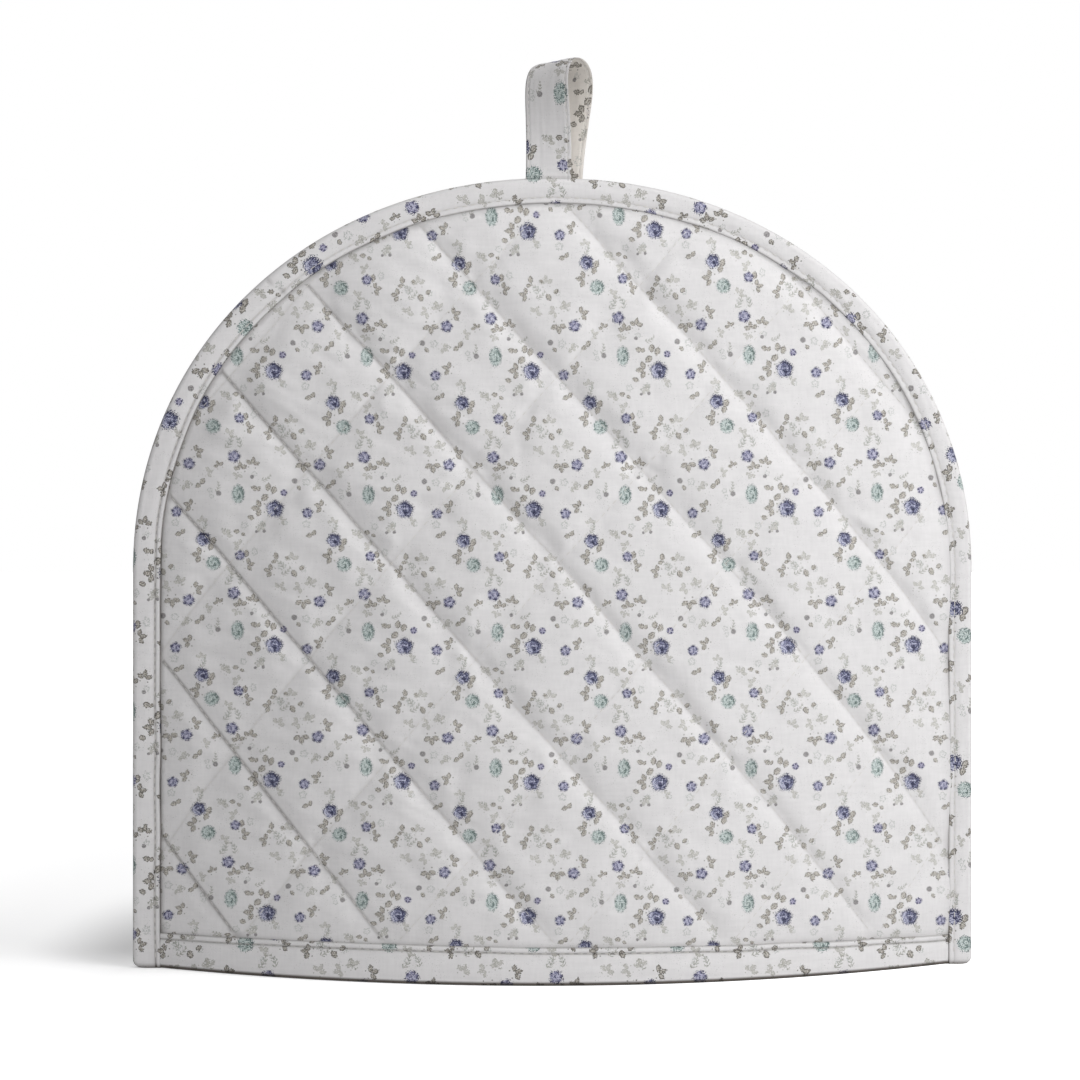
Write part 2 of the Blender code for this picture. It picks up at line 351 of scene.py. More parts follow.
def with_painted_shade(place: Array, shade: Array) -> Array:
    """The place on the cloth, with the painted shade at a seam, edge or contact as its third number."""
    place[..., 2] = shade
    return place


def make_piece(
    name: str,
    points: Array,
    faces: Faces,
    materials: list[Material],
    node: str | None = None,
    place: Array | None = None,
    face_materials: list[int] | None = None,
    sharp: float = 60.0,
) -> Piece:
    """Makes a smooth mesh piece that rides on the cosy.

    Args:
        name: the piece's name.
        points: its vertices, as an array of x, y and z.
        faces: vertex numbers of each face, facing out.
        materials: its materials.
        node: the solid that it replaces, if any.
        place: where on the printed cloth each vertex lies, or None.
        face_materials: the material's number for each face, or None for the first.
        sharp: edges that turn by more degrees stay sharp.

    Returns:
        The new object.
    """
    mesh = bpy.data.meshes.new(name)
    mesh.from_pydata(points.tolist(), [], faces)
    for material in materials:
        mesh.materials.append(material)
    if face_materials is not None:
        mesh.polygons.foreach_set("material_index", face_materials)
    if place is not None:
        layer = mesh.attributes.new(PLACE, "FLOAT_VECTOR", "POINT")
        layer.data.foreach_set("vector", place.astype(np.float32).ravel())
    mesh.shade_smooth()
    mesh.set_sharp_from_angle(angle=math.radians(sharp))
    mesh.update()
    piece = bpy.data.objects.new(name, mesh)
    bpy.context.scene.collection.objects.link(piece)
    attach(piece, BODY)
    if node:
        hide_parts(node)
    LOG.info("%s: %d points, %d faces", name, len(mesh.vertices), len(mesh.polygons))
    return piece


def grid_faces(rows: int, columns: int, first: int = 0, flip: bool = False) -> Faces:
    """Quads over a grid of points that is stored row by row from number first.

    Args:
        rows: rows of points.
        columns: points in each row.
        first: the first point's number.
        flip: True to turn the faces over.

    Returns:
        The faces.
    """
    row, column = np.meshgrid(np.arange(rows - 1), np.arange(columns - 1), indexing="ij")
    corner = (first + row * columns + column).ravel()
    quads = np.stack([corner, corner + 1, corner + columns + 1, corner + columns], axis=1)
    if flip:
        quads = quads[:, ::-1]
    return [tuple(quad) for quad in quads.tolist()]


def tube_faces(rings: int, count: int, flip: bool = False) -> Faces:
    """The sides and then the two ends of a closed tube of points that is stored ring by ring.

    Args:
        rings: how many rings.
        count: points in each ring.
        flip: True to turn the faces over.

    Returns:
        The faces.
    """
    faces = []
    for low in range(0, (rings - 1) * count, count):
        for k in range(count):
            after, high = (k + 1) % count, low + count
            sides = (low + k, low + after, high + after, high + k)
            faces.append((sides[0], *sides[:0:-1]) if flip else sides)
    ends = (tuple(range(count))[::-1], tuple(range((rings - 1) * count, rings * count)))
    return faces + [end[::-1] if flip else end for end in ends]


def fold_strip(outside: Array, inside: Array) -> tuple[Array, Faces]:
    """Closes a folded strip's outside and inside into one skin.

    Args:
        outside: the outer layer's points, by ring and by place across the strip.
        inside: the slot side's points, by ring and by place across the strip.

    Returns:
        All points, and the faces between them.
    """
    (rings, wide), narrow = outside.shape[:2], inside.shape[1]
    start = rings * wide
    faces = grid_faces(rings, wide) + grid_faces(rings, narrow, first=start, flip=True)
    for ring in range(rings - 1):
        here, there = ring * wide, (ring + 1) * wide
        slot, next_slot = start + ring * narrow, start + (ring + 1) * narrow
        faces.append((here, there, next_slot, slot))
        faces.append((there + wide - 1, here + wide - 1, slot + narrow - 1, next_slot + narrow - 1))
    last, last_slot = start - wide, start + (rings - 1) * narrow
    faces.append((*range(start, start + narrow), *reversed(range(wide))))
    faces.append((*range(last, last + wide), *reversed(range(last_slot, last_slot + narrow))))
    return np.concatenate([outside.reshape(-1, 3), inside.reshape(-1, 3)]), faces


# ---- shader boards


class Flow:
    """A value that runs from node to node, with the usual signs of arithmetic."""

    def __init__(self, board: Board, socket: Socket) -> None:
        """Keeps the board, and the socket that the value comes from."""
        self.board, self.socket = board, socket

    def __add__(self, other: Value) -> Flow:
        """The sum."""
        return self.board.math("ADD", self, other)

    def __sub__(self, other: Value) -> Flow:
        """The difference."""
        return self.board.math("SUBTRACT", self, other)

    def __rsub__(self, other: Value) -> Flow:
        """The difference from another value."""
        return self.board.math("SUBTRACT", other, self)

    def __mul__(self, other: Value) -> Flow:
        """The product."""
        return self.board.math("MULTIPLY", self, other)

    def __abs__(self) -> Flow:
        """The value without its sign."""
        return self.board.math("ABSOLUTE", self)

    __radd__, __rmul__ = __add__, __mul__

    def sine(self) -> Flow:
        """The sine of an angle."""
        return self.board.math("SINE", self)

    def least(self, other: Value) -> Flow:
        """The lower of two values."""
        return self.board.math("MINIMUM", self, other)

    def most(self, other: Value) -> Flow:
        """The higher of two values."""
        return self.board.math("MAXIMUM", self, other)

    def rise(self, low: Value, high: Value) -> Flow:
        """0 below low, 1 above high and a soft rise between; low may be the larger."""
        made = self.board.node("ShaderNodeMapRange", interpolation_type="SMOOTHSTEP")
        return self.board.run(made, self, low, high)

    def stretch(self, *factors: float) -> Flow:
        """A vector with each part multiplied."""
        return self.board.vector("MULTIPLY", self, factors)

    def along(self, *direction: float) -> Flow:
        """How far a vector reaches in a direction."""
        return self.board.vector("DOT_PRODUCT", self, direction)

    def length(self) -> Flow:
        """A vector's length."""
        return self.board.vector("LENGTH", self)

    def split(self) -> tuple[Flow, Flow, Flow]:
        """The three parts of a vector."""
        made = self.board.node("ShaderNodeSeparateXYZ")
        self.board.feed(made.inputs[0], self)
        return tuple(Flow(self.board, socket) for socket in made.outputs)


class Board:
    """Adds and joins shader nodes in one tree."""

    MIX_SOCKETS = {"VECTOR": (4, 1), "RGBA": (6, 2)}  # a Mix node's first value in, and its result

    def __init__(self, tree: bpy.types.NodeTree) -> None:
        """Keeps the tree that nodes go into."""
        self.tree = tree

    def node(self, kind: str, **settings: object) -> Node:
        """A new node of a kind, with its settings."""
        made = self.tree.nodes.new(kind)
        for name, value in settings.items():
            setattr(made, name, value)
        return made

    def feed(self, socket: Socket, value: Value) -> None:
        """Joins a socket to a value's own, or sets its number."""
        if isinstance(value, Flow):
            self.tree.links.new(value.socket, socket)
        else:
            socket.default_value = value

    def run(self, node: Node, *values: Value, out: int | str = 0, **named: Value) -> Flow:
        """Feeds a node's first sockets and some named ones, and gives what comes out of it.

        Args:
            node: the node.
            values: what its first sockets take.
            out: which output to give.
            named: what its named sockets take.

        Returns:
            The value of that output.
        """
        for socket, value in zip(node.inputs, values):
            self.feed(socket, value)
        for name, value in named.items():
            self.feed(node.inputs[name], value)
        return Flow(self, node.outputs[out])

    def math(self, operation: str, *values: Value, clamp: bool = False) -> Flow:
        """The result of a number operation."""
        return self.run(self.node("ShaderNodeMath", operation=operation, use_clamp=clamp), *values)

    def vector(self, operation: str, *values: Value) -> Flow:
        """The result of a vector operation."""
        out = "Value" if operation in ("LENGTH", "DOT_PRODUCT") else "Vector"
        return self.run(self.node("ShaderNodeVectorMath", operation=operation), *values, out=out)

    def mix(self, kind: str, share: Value, low: Value, high: Value, **settings: object) -> Flow:
        """Mixes two VECTOR or RGBA values.

        Args:
            kind: VECTOR or RGBA.
            share: 0 for low and 1 for high.
            low: one value.
            high: the other.
            settings: the node's own settings.

        Returns:
            The mixed value.
        """
        made = self.node("ShaderNodeMix", data_type=kind, **settings)
        first, out = self.MIX_SOCKETS[kind]
        self.feed(made.inputs[0], share)
        self.feed(made.inputs[first], low)
        self.feed(made.inputs[first + 1], high)
        return Flow(self, made.outputs[out])

    def noise(self, place: Flow, scale: float, detail: float = 1.0, out: int | str = 0) -> Flow:
        """A noise texture's value or Color over a place."""
        made = self.node("ShaderNodeTexNoise")
        return self.run(made, place, Scale=scale, Detail=detail, out=out)


class Group:
    """A shader node group with named inputs and outputs, built once."""

    def __init__(self, name: str, inputs: dict[str, Value], outputs: dict[str, str]) -> None:
        """Makes the group's tree and its sockets.

        Args:
            name: the group's name.
            inputs: each input's default; a number, or three or four of them.
            outputs: each output's kind, as Float, Vector or Color.
        """
        self.tree = bpy.data.node_groups.new(name, "ShaderNodeTree")
        self.board = Board(self.tree)
        make = self.tree.interface.new_socket
        for label, default in inputs.items():
            size = len(default) if isinstance(default, tuple) else 1
            kind = "NodeSocket" + {1: "Float", 3: "Vector", 4: "Color"}[size]
            make(name=label, in_out="INPUT", socket_type=kind).default_value = default
        for label, kind in outputs.items():
            make(name=label, in_out="OUTPUT", socket_type=f"NodeSocket{kind}")
        node = self.board.node("NodeGroupInput")
        self.given = {label: Flow(self.board, node.outputs[label]) for label in inputs}
        self.result = self.board.node("NodeGroupOutput").inputs

    def place(self, board: Board, **values: Value) -> tuple[Flow, ...]:
        """Puts the group in another tree, feeds its inputs and gives its outputs."""
        made = board.node("ShaderNodeGroup", node_tree=self.tree)
        board.run(made, **values)
        return tuple(Flow(board, socket) for socket in made.outputs)


# ---- the rose print


@dataclass(frozen=True)
class Motif:
    """A motif in the print's repeat, in millimetres from the middle of the large rose."""

    across: float
    up: float
    radius: float
    turn: float = 0.0  # degrees, anticlockwise
    stretch: float = 1.0  # height over width


@dataclass(frozen=True)
class RoseChart:
    """The print's repeat, charted motif by motif, each row as a Motif has it."""

    width: float = 48.8
    height: float = 52.2
    roses: Rows = ((0.0, 0.4, 3.35), (22.1, -11.4, 2.8, 25))
    flowers: Rows = (
        (12.2, -1.1, 2.25), (-13.0, -17.5, 2.15, 70), (-15.2, -32.0, 2.6, 200), (16.8, -34.9, 2.5, 130),
    )
    buds: Rows = ((3.4, 6.5, 1.45),)
    mints: Rows = ((25.9, -20.6, 3.0), (-13.7, 5.9, 2.6, 0, 1.5))
    sprigs: Rows = (
        (-6.3, 0.6, 3.0, 180), (20.2, -17.5, 2.9, 175), (-9.5, -20.9, 2.4, 10), (-2.0, -23.2, 2.5, 170),
        (-8.2, -34.2, 2.5, 80), (20.2, -30.3, 2.6, 20), (-21.0, -35.2, 1.9, 115), (10.7, -35.4, 2.9, 275),
        (16.8, 1.5, 2.5, 160), (-12.8, -36.0, 2.5, 100),
    )
    pale_sprigs: Rows = (
        (8.8, -29.7, 2.3, 200), (-13.8, -13.4, 2.2, 150), (6.3, -18.2, 2.6, 95), (13.4, -27.4, 2.3, 110),
        (2.8, -4.0, 1.9, 20), (-17.8, -9.3, 2.2, 60), (-16.6, -23.2, 2.2, 40), (21.7, -4.2, 2.0, 95),
        (-5.2, -6.6, 2.1, 330), (2.2, -29.4, 2.4, 60), (15.6, 9.0, 2.1, 330), (-14.0, 13.0, 1.9, 250),
        (24.2, 14.2, 2.0, 20),
    )
    leaves: Rows = (
        (-3.8, 4.6, 1.55, 225), (-0.4, 7.5, 1.5, 250), (-9.0, -3.0, 1.2, 160), (-7.6, 8.2, 1.25, 160),
        (-5.9, 8.0, 0.9, 60), (9.0, 8.4, 1.0, 310), (12.8, -9.6, 1.2, 200), (14.6, -8.6, 1.1, 60),
        (-14.3, -8.4, 1.1, 180), (-11.8, -9.5, 0.85, 330), (25.8, -12.0, 1.5, 60), (24.9, -14.4, 1.4, 250),
        (-10.7, -16.8, 1.4, 80), (0.4, -17.6, 1.3, 95), (-0.4, -19.8, 0.95, 200), (4.6, -18.2, 0.8, 320),
        (7.2, -24.2, 1.4, 300), (21.9, 10.6, 1.25, 60), (20.2, 9.0, 1.15, 215), (-2.5, 8.7, 1.45, 85),
        (10.1, -22.1, 1.1, 40),
    )
    rings: Rows = (
        (11.8, -5.3, 1.6), (11.8, 10.7, 1.6, 60), (-7.6, -16.0, 1.3, 20, 1.3), (-11.4, -6.1, 1.4, 120),
        (2.7, -21.4, 1.6, 200), (-4.6, -5.3, 1.2, 150), (3.8, -5.0, 1.1, 80), (-23.6, 5.0, 1.0, 40),
        (24.6, 7.2, 1.1, 10), (-17.0, -26.6, 1.2, 60), (-13.2, -26.0, 1.1, 200), (10.6, -22.6, 1.2, 300),
        (22.6, -6.0, 1.1, 120), (-7.6, 13.6, 1.1, 220),
    )
    ferns: Rows = (
        (-16.8, -26.6, 2.6, 65), (-13.4, -26.2, 2.4, 115), (2.2, -21.0, 2.6, 130), (4.4, -23.4, 2.2, 40),
        (13.4, -27.6, 2.2, 300), (-21.2, 8.6, 2.0, 80), (-3.0, 12.0, 2.0, 30), (-5.4, -6.0, 2.0, 200),
        (22.6, -6.6, 2.0, 70), (-18.2, -8.2, 2.0, 150), (16.4, 9.0, 1.9, 210),
    )
    dots: Rows = (
        (-6.9, -8.4, 0.65), (-4.0, -8.2, 0.75), (-21.0, 6.1, 1.15), (7.4, 11.1, 1.25), (-8.5, 12.5, 0.85),
    )


@dataclass(frozen=True)
class Bloom:
    """A round flower's own places and its mask."""

    local: Flow
    across: Flow
    up: Flow
    away: Flow
    angle: Flow
    petals: Flow
    mask: Flow

    def spot(self, middle: Pair, size: Pair) -> Flow:
        """A soft oval spot in the flower, 1 in its middle."""
        fine = (1.0 / size[0], 1.0 / size[1], 0.0)
        offset = (-middle[0] / size[0], -middle[1] / size[1], 0.0)
        return self.local.board.vector("MULTIPLY_ADD", self.local, fine, offset).length().rise(1.25, 0.45)


class RosePrint:
    """The printed cloth's pattern, as one node group that every printed material uses.

    A repeat holds its motifs by kind. For each kind the nearest motif is found first, and its
    shape is then drawn once, in that motif's own round unit: x and y within 1 of its middle.
    """

    TURN_UNIT = 0.01  # a motif's turn travels as the third coordinate, small beside the others
    FAR = 9.0
    PALE = ((0.66, 0.65, 0.61), (0.52, 0.51, 0.465), (0.36, 0.35, 0.31))
    STRONG = ((0.62, 0.59, 0.54), (0.37, 0.342, 0.30), (0.12, 0.11, 0.09))

    def __init__(self, chart: RoseChart) -> None:
        """Builds the group and draws every kind of motif, pale ones first, over the plain cloth.

        Args:
            chart: the print's repeat.
        """
        self.chart = chart
        self.nearest = self.nearest_group()
        defaults = {"Place": (0.0, 0.0, 0.0), "Cloth": (0.8, 0.8, 0.8, 1.0), "Softness": 0.2}
        self.group = Group("rose_print", defaults, {"Color": "Color"})
        self.board, given = self.group.board, self.group.given
        place = given["Place"].stretch(chart.width, chart.height, 0.0)
        shake = self.board.vector("SUBTRACT", self.board.noise(place, 1.1, 2.0, "Color"), (0.5, 0.5, 0.5))
        self.place = self.board.vector("MULTIPLY_ADD", shake, (0.55, 0.55, 0.0), place)
        self.soft, self.colour = given["Softness"], given["Cloth"]
        self.speck = (self.board.noise(self.place, 2.3) - 0.5) * (self.soft * -5.0 + 2.1)
        self.draw_specks()
        self.draw_ferns()
        self.draw_rings()
        crisp = self.soft * -4.6 + 1.46
        self.draw_leaves(self.fan(chart.pale_sprigs), self.PALE, 0.74, 1.6, 0.62, crisp)
        self.draw_leaves(self.fan(chart.sprigs), self.STRONG, 0.95, 0.9, 0.64, crisp)
        self.draw_leaves(self.parts(self.find(chart.leaves)), self.STRONG, 0.95, 0.7, 0.74, crisp)
        self.draw_mint()
        self.draw_bud()
        self.draw_flower()
        self.draw_rose()
        self.board.feed(self.group.result["Color"], self.colour)

    def nearest_group(self) -> Group:
        """A group that compares one more motif with the nearest so far.

        Returns:
            The group.
        """
        defaults = dict.fromkeys(("Place", "Highest", "Lowest", "Fineness", "Offset"), (0.0, 0.0, 0.0))
        defaults |= {"Nearest": (self.FAR, self.FAR, 0.0), "Distance": self.FAR}
        group = Group("nearest_motif", defaults, {"Nearest": "Vector", "Distance": "Float"})
        board, given = group.board, group.given
        folded = board.vector("WRAP", given["Place"], given["Highest"], given["Lowest"])
        local = board.vector("MULTIPLY_ADD", folded, given["Fineness"], given["Offset"])
        far = local.length()
        closer = board.math("LESS_THAN", far, given["Distance"])
        board.feed(group.result["Nearest"], board.mix("VECTOR", closer, given["Nearest"], local))
        board.feed(group.result["Distance"], far.least(given["Distance"]))
        return group

    def find(self, motifs: Rows) -> Flow:
        """The place in the nearest motif's own unit.

        Args:
            motifs: the motifs of one kind.

        Returns:
            The place from that motif's middle, turned with it.
        """
        board, nearest, distance = self.board, (self.FAR, self.FAR, 0.0), self.FAR
        wide, high = self.chart.width / 2.0, self.chart.height / 2.0
        for motif in (Motif(*row) for row in motifs):
            fine_x, fine_y = 1.0 / motif.radius, 1.0 / (motif.radius * motif.stretch)
            turn = math.radians(motif.turn) * self.TURN_UNIT
            nearest, distance = self.nearest.place(
                board,
                Place=self.place,
                Highest=(motif.across + wide, motif.up + high, 0.0),
                Lowest=(motif.across - wide, motif.up - high, 0.0),
                Fineness=(fine_x, fine_y, 0.0),
                Offset=(-motif.across * fine_x, -motif.up * fine_y, turn),
                Nearest=nearest,
                Distance=distance,
            )
        turned = board.node("ShaderNodeVectorRotate", rotation_type="Z_AXIS")
        angle = nearest.split()[2] * (-1.0 / self.TURN_UNIT)
        return board.run(turned, Vector=nearest, Angle=angle).stretch(1.0, 1.0, 0.0)

    def parts(self, local: Flow) -> tuple[Flow, Flow, Flow]:
        """x, y and distance from the middle of a place in a motif's unit."""
        x, y, _ = local.split()
        return x, y, local.length()

    def edge(self, inside: Flow, softness: Flow | None = None) -> Flow:
        """1 where a signed depth is inside a motif, with the print's soft edge."""
        softness = softness or self.soft
        return inside.rise(softness * -0.8, softness)

    def lay_ink(self, mask: Flow, tone: Value, inks: tuple[Floats, ...]) -> None:
        """Prints a motif over what is there.

        Args:
            mask: where the motif is.
            tone: 0 for its light ink, 1 for its dark one.
            inks: its light, middle and dark ink.
        """
        light, middle, dark = ((*ink, 1.0) for ink in inks)
        tone = self.board.math("ADD", tone, 0.0)
        lower = self.board.mix("RGBA", tone.rise(0.0, 0.5), light, middle)
        ink = self.board.mix("RGBA", tone.rise(0.45, 1.0), lower, dark)
        self.colour = self.board.mix("RGBA", mask, self.colour, ink)

    def blend_tones(self, base: float, *steps: tuple[Flow, float]) -> Flow:
        """A tone from 0, light, to 1, dark: a base with soft marks added to it."""
        tone = sum((mark * amount for mark, amount in steps), base)
        return self.board.math("ADD", tone, 0.0, clamp=True)

    def draw_specks(self) -> None:
        """Fine, pale specks in patches, like worn or shaken ink."""
        grain = self.board.noise(self.place, 2.1).rise(0.62, 0.74)
        patch = self.board.noise(self.place, 0.17).rise(0.46, 0.62)
        inks = ((0.50, 0.51, 0.49), (0.42, 0.42, 0.40), (0.32, 0.32, 0.31))
        self.lay_ink(grain * patch * 0.60, 0.5, inks)

    def draw_ferns(self) -> None:
        """Thin bent stems with small leaflets on both sides."""
        x, y, away = self.parts(self.find(self.chart.ferns))
        side = abs(x * x * -0.30 + y + 0.12)
        stripes = ((x - side) * 11.0).sine() * 0.3 - 0.12
        leaflets = (x * -0.16 + 0.34 - side).least(stripes)
        shape = (0.055 - side).most(leaflets).least(1.0 - away) + self.speck * 0.35
        inks = ((0.52, 0.52, 0.46), (0.34, 0.34, 0.29), (0.19, 0.19, 0.16))
        self.lay_ink(self.edge(shape) * 0.80, self.speck + 0.5, inks)

    def draw_rings(self) -> None:
        """Pale flowers in broken outline, and dark dots."""
        x, y, away = self.parts(self.find(self.chart.rings))
        outline = (self.board.math("ARCTAN2", y, x) * 5.0).sine() * 0.12 + 0.70
        line = self.speck * 1.3 + 0.16 - abs(away - outline)
        mask = self.edge(line.most(self.speck + 0.10 - away)) * 0.55
        inks = ((0.66, 0.68, 0.64), (0.47, 0.50, 0.46), (0.25, 0.27, 0.26))
        self.lay_ink(mask, self.speck + 0.55, inks)
        dots = self.edge(0.85 - self.find(self.chart.dots).length())
        dark = ((0.42, 0.40, 0.39), (0.24, 0.225, 0.225), (0.11, 0.10, 0.11))
        self.lay_ink(dots * 0.85, self.speck * 2.0 + 0.5, dark)

    def fan(self, motifs: Rows) -> tuple[Flow, Flow, Flow]:
        """The place in one of the nearest sprig's three leaves, in that leaf's own unit.

        Args:
            motifs: the sprigs.

        Returns:
            Along and across the leaf, and the distance from its middle.
        """
        board, size, half = self.board, 1.95, math.radians(32.0)
        x, y, away = self.parts(board.vector("ADD", self.find(motifs), (0.38, 0.0, 0.0)))
        angle = board.math("WRAP", board.math("ARCTAN2", y, x), half, -half)
        arm = abs(y) * -0.12 + 0.72
        along = (away * board.math("COSINE", angle) - arm) * size
        across = away * angle.sine() * size
        folded = board.run(board.node("ShaderNodeCombineXYZ"), along, across)
        return along, across, folded.length() + x.rise(0.02, -0.10)

    def draw_leaves(
        self,
        places: tuple[Flow, Flow, Flow],
        inks: tuple[Floats, ...],
        amount: float,
        broken: float,
        width: float,
        crisp: Flow,
    ) -> None:
        """Leaves of one kind, outlined where the print is crisp.

        Args:
            places: along and across the leaf, and the distance from its middle.
            inks: the leaf's light, middle and dark ink.
            amount: how strongly it is printed.
            broken: how uneven its edge is.
            width: its half width.
            crisp: how clearly its outline and rib show.
        """
        along, out, away = places
        length = self.board.math("POWER", (1.0 - along * along).most(0.0), 0.62)
        wide = self.speck * broken + length * (along * -0.12 + 1.0) * width
        depth = (wide - abs(out)).least(1.15 - away)
        mask = self.edge(depth + 0.02, self.soft * 1.1) * amount
        outline, rib = depth.rise(0.34, 0.14) * crisp, abs(out).rise(0.16, 0.03) * crisp
        lower = out.rise(0.15, -0.6)
        tone = self.blend_tones(0.16, (outline, 0.95), (rib, 0.50), (lower, 0.26), (self.speck, 3.0))
        self.lay_ink(mask, tone, inks)

    def bloom(
        self, motifs: Rows, count: float, drift: Value, wave: float, size: float, broken: float
    ) -> Bloom:
        """The nearest flower of a kind.

        Args:
            motifs: the flowers.
            count: how many petals go round it.
            drift: how far they are turned.
            wave: how far they stand out.
            size: its radius in its own unit.
            broken: how uneven its edge is.

        Returns:
            Its places and its mask.
        """
        local = self.find(motifs)
        x, y, away = self.parts(local)
        angle = self.board.math("ARCTAN2", y, x)
        petals = (angle * count + drift).sine()
        mask = self.edge(self.speck * broken + (petals * wave + size) - away)
        return Bloom(local, x, y, away, angle, petals, mask)

    def draw_mint(self) -> None:
        """A pale green flower, darker on its right and with a dotted rim."""
        mint = self.bloom(self.chart.mints, 9.0, self.speck * 6.0, 0.025, 0.90, 0.7)
        folds = (mint.away * 11.0 + mint.angle * 2.0).sine()
        heart = mint.spot((0.20, -0.28), (0.26, 0.28))
        shade = mint.local.along(0.55, 0.40, 0.0).rise(0.05, 0.55)
        rim = mint.away.rise(0.55, 0.85) * mint.petals.rise(-0.1, 0.8)
        tone = self.blend_tones(
            0.26, (heart, 0.46), (shade, 0.48), (rim, 0.40), (folds, 0.22), (self.speck, 2.8)
        )
        inks = ((0.63, 0.70, 0.685), (0.35, 0.43, 0.415), (0.085, 0.14, 0.13))
        self.lay_ink(mint.mask * 0.94, tone, inks)

    def draw_bud(self) -> None:
        """A small violet bud with a dark, broken ring."""
        bud = self.bloom(self.chart.buds, 5.0, 0.6, 0.0, 0.90, 0.8)
        ring = abs(bud.away - 0.68).rise(0.42, 0.08) * bud.petals.rise(-0.9, 0.4)
        tone = self.blend_tones(0.20, (ring, 0.75), (self.speck, 1.2))
        self.lay_ink(bud.mask, tone, ((0.56, 0.54, 0.66), (0.22, 0.21, 0.34), (0.055, 0.052, 0.12)))

    def draw_flower(self) -> None:
        """A violet flower: a light middle inside an uneven ring of dark petal tips."""
        flower = self.bloom(self.chart.flowers, 5.0, self.speck * 7.0, 0.07, 0.88, 0.8)
        rim = flower.away.rise(0.34, 0.74)
        tips = rim * flower.petals.rise(-0.7, 0.5)
        left = rim * (flower.across - flower.up).rise(0.3, -0.9)
        stroke = flower.spot((0.10, -0.05), (0.17, 0.42))
        fleck = flower.spot((-0.12, 0.08), (0.20, 0.26))
        tone = self.blend_tones(
            0.26, (tips, 0.66), (left, 0.20), (stroke, 0.34), (fleck, -0.26), (self.speck, 2.0)
        )
        self.lay_ink(flower.mask, tone, ((0.58, 0.575, 0.70), (0.255, 0.255, 0.39), (0.045, 0.045, 0.105)))

    def draw_rose(self) -> None:
        """A full rose: a dark cap, rim and heart, and lighter petals low on the left."""
        rose = self.bloom(self.chart.roses, 5.0, 0.0, 0.06, 0.95, 1.0)
        low_left = rose.local.along(-0.92, -0.35, 0.0).rise(0.14, 0.42)
        steps = (
            (rose.local.along(0.30, 0.86, 0.0).rise(0.22, 0.62), 0.26),
            (rose.across.rise(0.30, 0.70), 0.20),
            (rose.away.rise(0.70, 0.90), 0.06),
            (low_left * abs(rose.away - 0.60).rise(0.30, 0.10), -0.38),
            (rose.spot((0.08, -0.32), (0.21, 0.46)), 0.46),
            (rose.spot((0.12, 0.08), (0.30, 0.10)), -0.50),
            ((rose.away * 15.0 + rose.angle * -2.0).sine(), 0.16),
            (self.speck, 2.2),
        )
        inks = ((0.60, 0.61, 0.74), (0.195, 0.205, 0.335), (0.036, 0.038, 0.085))
        self.lay_ink(rose.mask, self.blend_tones(0.56, *steps), inks)


# ---- finishes


class ClothTexture:
    """Plain weave and soft crumple, as one node group that every cloth uses."""

    def __init__(self) -> None:
        """Builds the group."""
        defaults = {"Place": (0.0, 0.0, 0.0), "Yarns": 3.0}
        self.group = Group("cloth_texture", defaults, {"Height": "Float", "Tint": "Float"})
        board, place = self.group.board, self.group.given["Place"]
        turns = board.node("ShaderNodeVectorMath", operation="SCALE")
        turns = board.run(turns, place, Scale=self.group.given["Yarns"] * math.pi)
        warp, _, weft = turns.split()
        slub = board.noise(place.stretch(1.0, 1.0, 0.16), 0.9, 2.0)
        yarn = slub + board.noise(place.stretch(0.16, 0.16, 1.0), 0.9, 2.0)
        fuzz = board.noise(place, 0.22, 3.0)
        height = fuzz * 1.6 + (warp.sine() * weft.sine() * 0.22 + yarn)
        tint = (fuzz - 0.5) * 0.06 + ((yarn - 1.0) * 0.10 + 1.0)
        board.feed(self.group.result["Height"], height)
        board.feed(self.group.result["Tint"], tint)


@dataclass(frozen=True)
class PrintedCloth:
    """A cotton printed with roses."""

    name: str
    colour: Colour = (0.820, 0.806, 0.808, 1.0)
    softness: float = 0.22
    yarns: float = 3.0  # a millimetre
    bump: float = 0.35
    sheen: float = 0.15
    # Painted shade: the colour that the attribute's shade darkens the print towards, and the most of it
    # that is taken.
    seam: Colour = (0.235, 0.22, 0.205, 1.0)  # the deepest seam's tint
    deepest: float = 1.15  # the most that a seam takes of it

    def make(self, pattern: RosePrint, texture: ClothTexture) -> Material:
        """The material, with the shared print and weave in it.

        Args:
            pattern: the print.
            texture: the weave.

        Returns:
            The material.
        """
        material, board, shader = new_material(self.name, self.colour, 0.9)
        shader.inputs["Sheen Weight"].default_value = self.sheen
        shader.inputs["Sheen Roughness"].default_value = 0.6
        place = Flow(board, board.node("ShaderNodeAttribute", attribute_name=PLACE).outputs["Vector"])
        (printed,) = pattern.group.place(board, Place=place, Cloth=self.colour, Softness=self.softness)
        # The attribute's third number is painted shade, which darkens the print towards the seam tint.
        shade = place.split()[2].least(self.deepest)
        printed = board.mix("RGBA", shade, printed, self.seam, blend_type="MULTIPLY", clamp_factor=False)
        dress_cloth(board, shader, texture, printed, self.yarns, self.bump)
        return material


@dataclass(frozen=True)
class PlainCloth:
    """An unprinted cotton, for the panels' insides and for sewing thread."""

    name: str
    colour: Colour = (0.78, 0.77, 0.75, 1.0)
    yarns: float = 3.0
    bump: float = 0.35

    def make(self, texture: ClothTexture) -> Material:
        """The material, with the shared weave in it."""
        material, board, shader = new_material(self.name, self.colour, 0.92)
        dress_cloth(board, shader, texture, self.colour, self.yarns, self.bump)
        return material


def new_material(name: str, colour: Colour, roughness: float) -> tuple[Material, Board, Node]:
    """A material with its board and its Principled shader.

    Args:
        name: its name.
        colour: its plain colour.
        roughness: how rough it is.

    Returns:
        The material, its board and its shader.
    """
    material = bpy.data.materials.new(name)
    material.use_nodes = True
    material.diffuse_color = colour
    shader = material.node_tree.nodes["Principled BSDF"]
    shader.inputs["Base Color"].default_value = colour
    shader.inputs["Roughness"].default_value = roughness
    return material, Board(material.node_tree), shader


